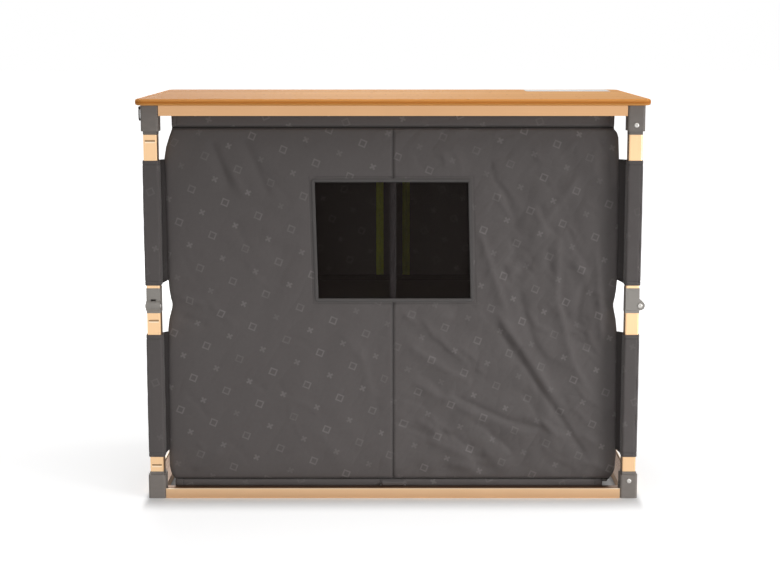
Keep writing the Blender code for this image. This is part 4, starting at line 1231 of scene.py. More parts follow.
@dataclass
class Sleeve:
    """A cloth sleeve round a leg tube, hemmed at both ends, with its web to the body."""

    corner: Corner
    upper: bool
    low: float
    high: float
    half_side: float = 0.0159
    half_knee: float = 0.0154
    round: float = 0.0046
    hem: float = 0.0085
    pinch: float = 0.0005
    pinch_reach: float = 0.0012
    web_width: float = 0.012
    web_slant: float = 0.006
    web_lap: float = 0.0012

    @property
    def prefix(self) -> str:
        """Return the name of the leg half that it covers."""
        return f"{self.corner.key}_{'upper' if self.upper else 'lower'}"

    def from_hem(self, up: Array) -> Array:
        """Return the distance of each height from the nearer hem's seam."""
        return np.minimum(np.abs(up - self.low - self.hem), np.abs(self.high - self.hem - up))

    def sewn(self, run: Array, up: Array) -> Points:
        """Return the way along each hem and the distance from it."""
        return stacked(run, self.from_hem(up))

    def tube_cut(self) -> Cut:
        """Return the cut that goes round the tube."""
        runs, path = loop_path(self.half_side, self.half_knee, self.round, 0.004)
        matrix = self.corner.matrix()
        spin = np.array(matrix)[:2, :2]

        def place(run: Array, up: Array) -> Points:
            """Put the points round the tube, a little slack between the hems."""
            share = (up - self.low) / (self.high - self.low)
            slack = np.sin(math.pi * np.clip(share, 0, 1)) ** 0.5
            ripple = 0.00028 * np.sin(share * 23 + run * 90) * slack
            x, y = follow(run, runs, path)
            bulge = 1 + (0.0004 * slack + ripple) / self.half_side
            near_hem = np.exp(-(self.from_hem(up) / self.pinch_reach) ** 2)
            bulge = bulge - self.pinch / self.half_side * near_hem
            local = np.stack([x * bulge, np.clip(y * bulge, -self.half_knee, self.half_knee)])
            flat = spin @ local
            return stacked(flat[0] + matrix.translation.x, flat[1] + matrix.translation.y, up)

        seams = (self.low + self.hem, self.high - self.hem)
        rows = refined(self.low, self.high, 0.007, seams, 0.0012)
        return Cut(runs, rows, place, self.sewn, closed=True)

    def web_cut(self) -> Cut:
        """Return the cut of the web between the sleeve and the body's corner."""
        side_x, side_y = self.corner.side_x, self.corner.side_y
        start_x = LAYOUT.leg_x - self.half_side + self.web_lap
        start_y = LAYOUT.leg_y - self.half_knee + self.web_lap

        def place(across: Array, up: Array) -> Points:
            """Put the points between the sleeve's inner corner and the body."""
            share = across / self.web_width
            low = self.low + self.web_slant * share
            height = low + (up - self.low) / (self.high - self.low) * (self.high - low)
            end_x = SHAPE.half_length(height, np.full(height.shape, side_x)) - self.web_lap
            x = start_x + (end_x - start_x) * share
            swell = np.sin(math.pi * share)
            y = start_y + (LAYOUT.body_depth - 0.0022 - start_y) * share - 0.002 * swell
            ripple = 0.0005 * np.sin(height * 70 + side_x) * swell
            return stacked(side_x * x, side_y * (y + ripple), height)

        def sewn(across: Array, up: Array) -> Points:
            """Sew the web along the body's edge."""
            return stacked(up, np.abs(across - self.web_width + 0.0025))

        return Cut(even(0, self.web_width, 0.0015), even(self.low, self.high, 0.01), place, sewn)

    def build(self, bench: Bench) -> None:
        """Make the sleeve and its web, in place of the plain sleeve."""
        tube, web, body = self.tube_cut(), self.web_cut(), f"{self.prefix}_leg"
        sleeve = bench.sew(f"{self.prefix}_cover", tube, SLEEVE_CLOTH, None, body=body)
        # The web's dark cloth is painted shade between the sleeve and the body.
        flap = bench.sew(f"{self.prefix}_web", web, LINING_AND_SHADE, None, body=body)
        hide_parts(f"{self.prefix}_sleeve")


@dataclass
class Leg:
    """One folding leg: two tubes, their plugs, the knee, the rivets and the sleeves."""

    corner: Corner
    lower_sleeve: tuple[float, float] = (0.088, 0.346)
    upper_sleeve: tuple[float, float] = (0.449, 0.705)
    hip_face: float = 0.018
    knee_face: float = 0.0148
    rivet: Rivet = field(default_factory=Rivet)

    def head(self, height: float, face: float, away: float, sides: Sequence[int]) -> Form:
        """Return rivet heads on the hinge axis at a height.

        Args:
            height: the height of the axis.
            face: the distance of the heads' seats from the leg's middle.
            away: how far the axis lies from the leg's middle, outward.
            sides: which ends of the axis get a head, 1 or -1.

        Returns:
            The heads in place.
        """
        middle = self.corner.matrix(height)
        places = [middle @ Matrix.Translation((side * face, away, 0))
                  @ Matrix.Rotation(side * math.pi / 2, 4, "Y") for side in sides]
        return repeated(self.rivet.mesh(), places)

    def build(self, bench: Bench) -> None:
        """Dress the leg's solids and add its rivets and sleeves."""
        key = self.corner.key
        tube = TUBE_FRONT if self.corner in (Corner.REAR_RIGHT, Corner.FRONT_LEFT) else TUBE_SIDE
        mouldings = ("lower_hip_plug", "upper_hip_plug", "bottom_corner", "top_corner")
        for finish, names in ((tube, ("lower_tube", "upper_tube")), (MOULDING, mouldings),
                              (LIT_KNEE_MOULDING, ("knee_fork", "knee_tongue"))):
            bench.dress([f"{key}_{name}" for name in names], finish)
        hip, knee = (self.hip_face, 0, (1,)), (self.knee_face, LAYOUT.knee_offset, (1, -1))
        for name, height, where, body in (("low", LAYOUT.low_hip, hip, "base"),
                                          ("top", LAYOUT.top_hip, hip, "top"),
                                          ("knee", LAYOUT.knee, knee, f"{key}_lower_leg")):
            bench.piece(f"{key}_{name}_rivet", self.head(height, *where), BRIGHT_STEEL, body,
                        "plain_steel", crisp=True)
        for upper, reach in ((False, self.lower_sleeve), (True, self.upper_sleeve)):
            Sleeve(self.corner, upper, *reach).build(bench)


@dataclass
class Rims:
    """The top and bottom rims of rails, the crossbar and the screws that hold the board."""

    rail_bottom: float = 0.7957
    long_x: tuple[float, ...] = (-0.4, -0.13, 0.13, 0.4)
    short_y: tuple[float, ...] = (-0.12, 0.12)
    rail_y: float = 0.2125
    rail_x: float = 0.4925
    head_radius: float = 0.0036
    head_height: float = 0.0011
    facets: int = 20

    def screws(self) -> Form:
        """Return the screw heads under the top rails."""
        radius, depth, seat = self.head_radius, -self.head_height, 0.0002
        head = turned(((0, seat), (radius, seat), (radius, depth * 0.4), (radius * 0.7, depth),
                       (radius * 0.32, depth), (0, depth * 0.3)), self.facets)
        spots = [(x, side * self.rail_y) for x in self.long_x for side in (1, -1)]
        spots += [(side * self.rail_x, y) for y in self.short_y for side in (1, -1)]
        return repeated(head, [Matrix.Translation((x, y, self.rail_bottom)) for x, y in spots])

    def build(self, bench: Bench) -> None:
        """Dress the rails and add the screws."""
        for level, along, across in (("top", TOP_RAIL_LONG, TOP_RAIL_SHORT),
                                     ("bottom", LOW_RAIL_LONG, LOW_RAIL_SHORT)):
            bench.dress([f"{level}_front_rail", f"{level}_rear_rail"], along)
            bench.dress([f"{level}_left_rail", f"{level}_right_rail"], across)
        bench.dress(["floor_crossbar"], SHADED_BAR)
        bench.piece("top_rail_screws", self.screws(), BRIGHT_STEEL, "top", "plain_steel",
                    crisp=True)


@dataclass
class BoardTop:
    """The bamboo board with its pan plate and the hanging ring."""

    def build(self, bench: Bench) -> None:
        """Dress the board, the plate and the ring."""
        for name, finish in (("board_top", BAMBOO), ("pan_plate", PLATE),
                             ("hanging_ring", DARK_STEEL)):
            bench.dress([name], finish)


@dataclass
class ClothBody:
    """The sewn body: ends and floor, the strips to the rims, front frame and divider."""

    end_front: float = -0.1885
    end_rear: float = 0.1865
    end_seam: float = 0.1835
    end_sag: float = 0.0036
    end_creases: float = 0.0019
    header: float = 0.023
    sill: float = 0.011
    door_outer: float = 0.443
    post: float = 0.03
    zip_gap: float = 0.0034
    divider_low: float = 0.0335
    hem: float = 0.006
    rear: float = 0.1856
    shelf_band: tuple[float, float] = (0.385, 0.404)
    strip_hem: float = 0.443
    bar_reach: float = 0.0215
    bar_slope: float = 0.0065
    bar_out: float = 0.0089
    bar_low: float = 0.0185
    shelf_end: float = 0.458
    shelf_height: float = 0.3885
    top_seam: float = 0.77
    bottom_seam: float = 0.03
    binding_depth: float = 0.1852
    binding_radius: float = 0.0013
    binding_wall: float = 0.0006
    top_shadow_strip: float = 0.45
    bottom_shadow_strip: float = 0.456
    strip_lap: float = 0.005
    strip_low: float = 0.015
    strip_grow: float = 0.0065
    strip_depth: float = 0.1892
    strip_left: float = 0.962
    band_half: float = 0.4485
    band_plane: float = -0.1868
    tape_half: float = 0.0068
    divider_rise: float = 0.02

    def end_path(self) -> tuple[Array, Array]:
        """Return the path of the cloth down the right end, under and up the left end.

        Returns:
            The lengths along the path and the points (x, z) there.
        """
        corners = np.array(SHAPE.right_edge)[:, 0]
        heights = np.unique(np.concatenate([even(0.03, LAYOUT.body_top, 0.012), corners]))
        right = stacked(SHAPE.half_length(heights, np.ones(heights.shape)) - 0.0005, heights)[::-1]
        left = stacked(0.0005 - SHAPE.half_length(heights, -np.ones(heights.shape)), heights)
        floor = np.array([(x, LAYOUT.strip_bottom + 0.0008) for x in even(0.4505, -0.4505, 0.03)])
        spots = np.concatenate([right, floor, left])
        return distances(spots), spots

    def ends(self) -> Cut:
        """Return the cut of both ends and the floor in one length."""
        runs, spots = self.end_path()

        def place(run: Array, depth: Array) -> Points:
            """Hang the ends with a few soft folds and lay the floor flat."""
            x, z = follow(run, runs, spots)
            on_end = smooth_step((z - 0.05) / 0.06) * smooth_step((LAYOUT.body_top - z) / 0.08)
            sag = -self.end_sag * np.cos(depth / 0.185 * math.pi / 2) * on_end
            creases = np.sin(depth * 60 + z * 14) * np.sin(z * 19 + 1) * on_end
            edge = smooth_step((self.end_rear - np.abs(depth)) / 0.03)
            inward = np.minimum(0, (sag + self.end_creases * creases) * edge)
            held = self.shelf_end - 0.35 * np.maximum(0, np.abs(z - self.shelf_height) - 0.005)
            inward = np.maximum(inward, np.minimum(0, held - np.abs(x)))
            in_strip = z < LAYOUT.body_bottom
            y = np.where(in_strip, depth * 0.993, depth)
            return stacked(x + np.sign(x) * inward * (np.abs(x) > 0.45), y, z)

        def sewn(run: Array, depth: Array) -> Points:
            """Sew the ends near their front and back edges."""
            return stacked(run, np.abs(np.abs(depth) - self.end_seam))

        seams = (-self.end_seam, self.end_seam)
        columns = refined(self.end_front, self.end_rear, 0.014, seams, 0.001)
        rows = np.array(sorted(set(np.round(runs, 6))))
        return Cut(rows, columns, place, sewn)

    def strip(self, low: float, high: float, grow: float, dip: float, depth: float,
              left_share: float) -> Cut:
        """Return the cut of a narrow strip right round the body.

        Args:
            low: the strip's lowest height.
            high: its highest.
            grow: how much longer it is than the strips of the solid, each way.
            dip: the height at which it dives behind the body's edge.
            depth: how far it lies from the middle along Y.
            left_share: how far its left end reaches, as a share of its right end.

        Returns:
            The closed cut.
        """
        runs, path = loop_path(LAYOUT.strip_length + grow, depth, 0.004, 0.01)
        path[:, 0] *= 1 - (1 - left_share) * smooth_step((-path[:, 0] - 0.3) / 0.12)

        def past_hem(x: Array) -> Array:
            """Return how far each point lies past the strip's sewn end."""
            return np.where(x < 0, -x / left_share, x) - self.strip_hem

        def place(run: Array, up: Array) -> Points:
            """Put the points round the body, a little wavy, over the ends of the crossbar."""
            x, y = follow(run, runs, path)
            wave = 0.0005 * np.sin(run * 31) * np.sin((up - low) / (high - low) * math.pi)
            dive = -0.0045 * np.exp(-((up - dip) / 0.0028) ** 2)
            hem = 0.0007 * smooth_step(past_hem(x) / 0.0008)
            if low < LAYOUT.strip_bottom:
                beside = self.bar_reach + self.bar_slope - np.abs(x)
                bar = smooth_step(beside / self.bar_slope)
                raised = smooth_step((beside + 0.001) / (self.bar_slope * 0.6))
                under = np.clip((dip - 0.0028 - up) / (dip - 0.0028 - low), 0, 1)
                up = up + (self.bar_low - low) * raised * under
                hem = hem + self.bar_out * bar * smooth_step((dip - 0.0012 - up) / 0.005)
            return stacked(x, y + np.sign(y) * (wave + dive + hem), up)

        def sewn(run: Array, up: Array) -> Points:
            """Sew the strip near its upper edge and across it near each end."""
            x = np.interp(run, runs, path[:, 0])
            ends = np.abs(past_hem(x) + 0.001)
            rim = np.abs(high - 0.004 - up)
            return stacked(np.where(ends < rim, up, run), np.minimum(ends, rim))

        hem, bar = self.strip_hem, self.bar_reach + self.bar_slope / 2
        spots = ((hem, 0.0012), (-hem * left_share, 0.0012), (bar, 0.0033), (-bar, 0.0033))
        lines = [float(np.interp(x, *order)) + share * reach for x, reach in spots
                 for share in (-1, -0.5, 0, 0.5, 1) for order in self.crossings(runs, path)]
        columns = with_extra(runs, lines)
        rows = refined(low, high, 0.0025 if low < LAYOUT.strip_bottom else 0.005, (dip,), 0.0014)
        return Cut(columns, rows, place, sewn, closed=True)

    def binding(self, height: float, half_length: float) -> Cut:
        """Return the cut of a dark half-round strip over the seam between the body and a strip; its
        dark colour is painted shade in the crease there.

        Args:
            height: the height of the seam.
            half_length: how far it lies from the middle along X.

        Returns:
            The closed cut, half round in section.
        """
        runs, path = loop_path(half_length, self.binding_depth, 0.004, 0.01)
        outward, radius = outward_of(path), self.binding_radius

        def place(run: Array, across: Array) -> Points:
            """Lay the dark strip round the body."""
            x, y, out_x, out_y = follow(run, runs, path, outward)
            swell, rise = radius * np.cos(across / radius), radius * np.sin(across / radius)
            return stacked(x + out_x * swell, y + out_y * swell, height + rise)

        half = radius * math.pi / 2
        return Cut(runs, np.linspace(-half, half, 7), place, closed=True)

    def crossings(self, runs: Array, path: Array) -> list[tuple[Array, Array]]:
        """Return, for the loop's rear and its front, X in rising order and the way along there."""
        orders = []
        for side in (1, -1):
            chosen = np.flatnonzero(path[:, 1] * side > 0.1)
            chosen = chosen[np.argsort(path[chosen, 0])]
            orders.append((path[chosen, 0], runs[chosen]))
        return orders

    def front(self, left: float, right: float, low: float, high: float, edges: Sequence[float],
              upright: bool) -> Cut:
        """Return the cut of one flat part of the front frame.

        Args:
            left: its left edge.
            right: its right edge.
            low: its lowest height.
            high: its highest.
            edges: the places of its sewn lines, heights or distances across.
            upright: whether those lines stand upright.

        Returns:
            The cut.
        """
        def place(across: Array, up: Array) -> Points:
            """Put the points on the front, rounded at the body's edges."""
            x = SHAPE.across(across, up)
            turn = SHAPE.rounding(across, up)
            wave = 0.0004 * np.sin(across * 37 + up * 21)
            return stacked(x, -(LAYOUT.body_depth - turn + wave - 0.0004), up)

        def sewn(across: Array, up: Array) -> Points:
            """Sew along the given lines."""
            run, value = (up, across) if upright else (across, up)
            away = np.min([np.abs(value - edge) for edge in edges], axis=0)
            return stacked(run, away)

        columns = refined(left, right, 0.012, edges if upright else (), 0.001)
        rows = refined(low, high, 0.012, () if upright else edges, 0.001)
        for rim in (LAYOUT.body_length, -LAYOUT.body_length):
            if rim in (left, right):
                columns = with_extra(columns, (math.copysign(abs(rim) - away, rim)
                                               for away in (0.002, 0.005, 0.009)))
        return Cut(columns, rows, place, sewn)

    def front_parts(self) -> dict[str, Cut]:
        """Return the front frame's parts by name."""
        length, top, bottom = LAYOUT.body_length, LAYOUT.body_top, LAYOUT.body_bottom
        door_top, door_low = top - self.header, bottom + self.sill
        inner, outer = self.post - self.zip_gap, self.door_outer + self.zip_gap
        level = {"front_header": (door_top, top, door_top + self.hem),
                 "front_sill": (bottom, door_low - self.zip_gap, bottom + 0.004)}
        upright = {"front_post": (-inner, inner, (-inner + 0.003, inner - 0.003)),
                   "front_right_jamb": (outer, length, (outer + 0.003,)),
                   "front_left_jamb": (-length, -outer, (-outer - 0.003,))}
        parts = {name: self.front(-length, length, low, high, (seam,), False)
                 for name, (low, high, seam) in level.items()}
        for name, (left, right, seams) in upright.items():
            parts[name] = self.front(left, right, door_low, door_top, seams, True)
        return parts

    def upright(self, low: float, high: float) -> Cut:
        """Return the cut of the wall between the two compartments."""
        def place(depth: Array, up: Array) -> Points:
            """Stand the wall in the middle."""
            return stacked(0.0002 * np.sin(up * 20), depth, up)
        return Cut(even(-self.end_rear, 0.1838, 0.03), even(low, high, 0.03), place)

    def band(self, left: float, right: float, low: float, high: float, depth: float) -> Cut:
        """Return the cut of a flat band inside the body, at one depth."""
        def place(across: Array, up: Array) -> Points:
            """Put the band upright, facing the back."""
            return stacked(across, np.full(across.shape, depth), up)
        across_step = 0.03 if right - left > 0.1 else 0.004
        up_step = 0.006 if high - low < 0.1 else 0.03
        return Cut(even(left, right, across_step), even(low, high, up_step), place)

    def build(self, bench: Bench) -> None:
        """Make the body in place of its plain solid."""
        ends = self.ends()
        bag = bench.sew("body_ends", ends, CLOTH, BODY_CRUMPLE, CLOTH_WALL)
        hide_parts("cloth_body")
        top, bottom = self.top_seam, self.bottom_seam
        parts = {"top_strip": self.strip(top - self.strip_lap, LAYOUT.strip_top, 0.0, top,
                                         LAYOUT.strip_depth, 1.0),
                 "bottom_strip": self.strip(self.strip_low, bottom + self.strip_lap,
                                            self.strip_grow, bottom, self.strip_depth,
                                            self.strip_left),
                 "divider": self.upright(self.divider_low, LAYOUT.body_top + self.divider_rise)}
        parts.update(self.front_parts())
        # Dark half-round strips over the top and bottom seams: painted shade in the crease there.
        trim = [bench.sew(f"{name}_binding", self.binding(height, half), SEAM_SHADOW, BODY_CRUMPLE,
                          self.binding_wall)
                for name, height, half in (("top_seam", top - 0.0005, self.top_shadow_strip),
                                           ("bottom_seam", bottom, self.bottom_shadow_strip))]
        for name, cut in parts.items():
            cloth = bench.sew(name, cut, CLOTH, BODY_CRUMPLE, CLOTH_WALL)
            if min(cut.flat) < NARROWEST_SHEET:
                trim.append(cloth)
        band = self.band(-self.band_half, self.band_half, *self.shelf_band, self.band_plane)
        hem = bench.sew("front_shelf_band", band, LINING_AND_SHADE, BODY_CRUMPLE)
        edge = self.band(-self.tape_half, self.tape_half, self.divider_low, LAYOUT.body_top,
                         self.rear - 0.0012)
        tape = bench.sew("divider_tape", edge, WIDE_TAPE, BODY_CRUMPLE)


@dataclass
class BackPanel:
    """The folded back panel with its middle seam, its window net and the tape round it."""

    window_left: float = 0.1584
    window_low: float = 0.415
    window_high: float = 0.659
    window_slant: float = 0.0032
    tape_width: float = 0.0076
    groove: float = 0.003
    net_plane: float = 0.1885
    net_lap: float = 0.006
    net_wall: float = 0.0003
    bulge: float = 0.0012
    most: float = 0.0074
    least: float = -0.0048
    seam_depth: float = 0.0022
    seam_stitch: float = 0.0022
    step: float = 0.0048
    beside_seam: float = 0.0011
    tape_corner: float = 0.0042
    tape_plane: float = 0.0013
    tape_dome: float = 0.0007
    net_step: float = 0.012
    net_slack: float = 0.0016
    folds: tuple[Fold, ...] = (
        Fold(((-0.196, 0.384), (-0.371, 0.134), (-0.424, 0.05)), -0.005, 0.0068, 0.35),
        Fold(((-0.205, 0.402), (-0.352, 0.182)), 0.006, 0.009, -0.3),
        Fold(((-0.17, 0.58), (-0.24, 0.372)), 0.0048, 0.0102, 0.4),
        Fold(((-0.118, 0.214), (-0.24, 0.158), (-0.352, 0.128)), -0.0046, 0.006, 0.3, 1.4),
        Fold(((-0.13, 0.19), (-0.3, 0.12)), 0.0034, 0.014, 0.3),
        Fold(((-0.022, 0.325), (-0.146, 0.242)), 0.0038, 0.0102, 0.3),
        Fold(((-0.038, 0.24), (-0.132, 0.194)), 0.0032, 0.0085, 0.2),
        Fold(((-0.39, 0.684), (-0.309, 0.571), (-0.276, 0.535)), 0.0045, 0.0085, 0.3),
        Fold(((-0.343, 0.592), (-0.339, 0.418), (-0.376, 0.277), (-0.43, 0.182)),
             0.0048, 0.0102, 0.4),
        Fold(((-0.42, 0.545), (-0.437, 0.305)), 0.0048, 0.0076, 0.3),
        Fold(((-0.3, 0.3), (-0.345, 0.06)), 0.0029, 0.0127, 0.2),
        Fold(((-0.25, 0.47), (-0.29, 0.33), (-0.33, 0.26)), -0.0032, 0.0102, 0.2),
        Fold(((-0.395, 0.46), (-0.38, 0.35)), -0.0035, 0.0085, 0.2),
        Fold(((0.376, 0.752), (0.33, 0.636)), -0.0048, 0.011, 0.2),
        Fold(((0.308, 0.752), (0.248, 0.616)), -0.0038, 0.011, 0.2),
        Fold(((0.34, 0.7), (0.3, 0.62)), 0.0026, 0.0102, 0.2),
        Fold(((0.425, 0.045), (0.355, 0.098)), 0.0032, 0.0085, 0.2),
        Fold(((0.072, 0.328), (0.04, 0.182)), 0.0024, 0.0127, 0.2),
        Fold(((0.45, 0.42), (0.38, 0.4)), 0.0022, 0.0085, 0.2),
        Fold(((0.45, 0.385), (0.375, 0.35)), -0.0021, 0.0085, 0.2),
        Fold(((-0.45, 0.415), (-0.395, 0.44)), 0.0029, 0.0068, 0.2),
        Fold(((-0.452, 0.398), (-0.4, 0.372)), 0.0032, 0.0068, 0.2),
    )
    calm: Ripples = Ripples(11, 0.0007)
    lively: Ripples = Ripples(5, 0.0012, count=34, shortest=0.03, longest=0.1)
    creases: tuple[Creases, ...] = (
        Creases(3, 96, (-0.445, -0.02), (0.05, 0.73), 0.5, 1.15, 0.0032),
        Creases(8, 26, (0.03, 0.44), (0.06, 0.73), 0.8, 1.0, 0.0014),
    )

    def relief(self, x: Array, up: Array) -> Array:
        """Return how far the panel stands out at each point, before its edges are rounded."""
        every = self.folds + sum((group.folds() for group in self.creases), ())
        total = sum(fold.lift(x, up) for fold in every)
        lively = self.lively.lift(x, up) * smooth_step((0.05 - x) / 0.2)
        total = total + self.calm.lift(x, up) + lively
        share = (up - LAYOUT.body_bottom) / (LAYOUT.body_top - LAYOUT.body_bottom)
        swell = np.abs(np.sin(share * math.tau))
        total = total + self.bulge * (1 - (x / 0.47) ** 2) * swell
        near_window = smooth_step((self.window_distance(x, up) - 0.002) / 0.03)
        edges = np.minimum(LAYOUT.body_top - up, up - LAYOUT.body_bottom)
        edges = np.minimum(edges, LAYOUT.body_length - np.abs(x))
        total = total * (0.25 + 0.75 * near_window) * (0.2 + 0.8 * smooth_step(edges / 0.03))
        return np.clip(total, self.least, self.most) - self.seam_depth * np.exp(-(x / 0.0014) ** 2)

    def window_distance(self, x: Array, up: Array) -> Array:
        """Return the distance of each point from the window's edge, negative inside."""
        side = np.abs(x - self.slant(up)) - self.window_left
        return np.maximum(side, np.maximum(self.window_low - up, up - self.window_high))

    def slant(self, up: Array) -> Array:
        """Return how far the window's middle lies to the right at each height."""
        share = (up - self.window_low) / (self.window_high - self.window_low)
        return self.window_slant * (2 * np.clip(share, -0.1, 1.1) - 1)

    def panel_cut(self) -> Cut:
        """Return the cut of the panel, open at the window."""
        half = LAYOUT.body_length

        def place(across: Array, up: Array) -> Points:
            """Hang the panel with its folds and turn its edges inward."""
            shift = self.slant(up) * smooth_step((0.3 - np.abs(across)) / 0.12) * smooth_step(
                (np.abs(across) - 0.01) / 0.03)
            x = SHAPE.across(across, up) + shift
            y = LAYOUT.body_depth + 0.0002 + self.relief(x, up) - SHAPE.rounding(across, up)
            return stacked(x, y, up)

        def sewn(across: Array, up: Array) -> Points:
            """Sew the middle seam and the line outside the window's tape."""
            outside = np.abs(self.window_distance(across + self.slant(up), up))
            away = np.abs(outside - self.tape_width - self.groove)
            seam = np.abs(np.abs(across) - self.seam_stitch)
            upright = (seam < away) | (np.abs(across) > self.window_left)
            return stacked(np.where(upright, up, across), np.minimum(away, seam))

        out = self.window_left + self.tape_width + self.groove
        lines = (0.0, -self.window_left, self.window_left, -out, out)
        columns = refined(-half, half, self.step, lines, self.beside_seam)
        columns = with_extra(columns, (sign * (half - away) for sign in (1, -1)
                                       for away in (0.001, 0.0025, 0.0045, 0.008)))
        beyond = out - self.window_left
        lines = (self.window_low, self.window_high,
                 self.window_low - beyond, self.window_high + beyond)
        rows = refined(LAYOUT.body_bottom, LAYOUT.body_top, self.step, lines, self.beside_seam)
        rims = ((LAYOUT.body_bottom, 1), (LAYOUT.body_top, -1))
        rows = with_extra(rows, (rim + sign * away for rim, sign in rims
                                 for away in (0.0015, 0.004)))
        hole = (-self.window_left, self.window_left, self.window_low, self.window_high)
        return Cut(columns, rows, place, sewn, openings=(hole,))

    def tape_cut(self) -> Cut:
        """Return the cut of the tape round the window's edge."""
        middle = (self.window_low + self.window_high) / 2
        half_up = (self.window_high - self.window_low) / 2
        lift = self.tape_width / 2 - 0.001
        runs, path = loop_path(self.window_left + lift, half_up + lift, self.tape_corner, 0.007)
        outward, half = outward_of(path), self.tape_width / 2

        def place(run: Array, across: Array) -> Points:
            """Lay the tape on the panel's edge, slightly domed."""
            x, up, out_x, out_up = follow(run, runs, path, outward)
            x, up = x + out_x * across, middle + up + out_up * across
            x = x + self.slant(up)
            dome = self.tape_dome * (1 - (across / half) ** 2)
            y = LAYOUT.body_depth + self.tape_plane + np.maximum(self.relief(x, up), 0) + dome
            return stacked(x, y, up)

        return Cut(runs, even(-half, half, 0.0011), place, closed=True)

    def net_cut(self) -> Cut:
        """Return the cut of the window's net."""
        lap, middle = self.net_lap, (self.window_low + self.window_high) / 2

        def place(across: Array, up: Array) -> Points:
            """Hang the net a little slack in the window."""
            share = np.cos(across / (self.window_left + lap) * math.pi / 2)
            height = self.window_high - self.window_low + 2 * lap
            share = share * np.cos((up - middle) / height * math.pi)
            slack = -self.net_slack * share + 0.0005 * np.sin(across * 55 + up * 30) * share
            seam = 0.0005 * np.exp(-(across / 0.002) ** 2)
            return stacked(across + self.slant(up), self.net_plane + slack + seam, up)

        def sewn(across: Array, up: Array) -> Points:
            """Sew the net's middle seam."""
            return stacked(up, np.abs(across))

        half = self.window_left + lap
        columns = refined(-half, half, self.net_step, (0.0,), 0.0015)
        rows = even(self.window_low - lap, self.window_high + lap, self.net_step)
        return Cut(columns, rows, place, sewn)

    def build(self, bench: Bench) -> None:
        """Make the panel, the tape and the net in place of their plain solids."""
        panel_cut, tape_cut, net_cut = self.panel_cut(), self.tape_cut(), self.net_cut()
        panel = bench.sew("back_panel", panel_cut, BACK_CLOTH, BACK_CRUMPLE, CLOTH_WALL)
        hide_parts("cloth_back")
        tape = bench.sew("window_tape", tape_cut, TAPE, BACK_CRUMPLE)
        net = bench.sew("window_net", net_cut, NET, BACK_CRUMPLE, self.net_wall, slot="window_net")
        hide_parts("window_mesh")


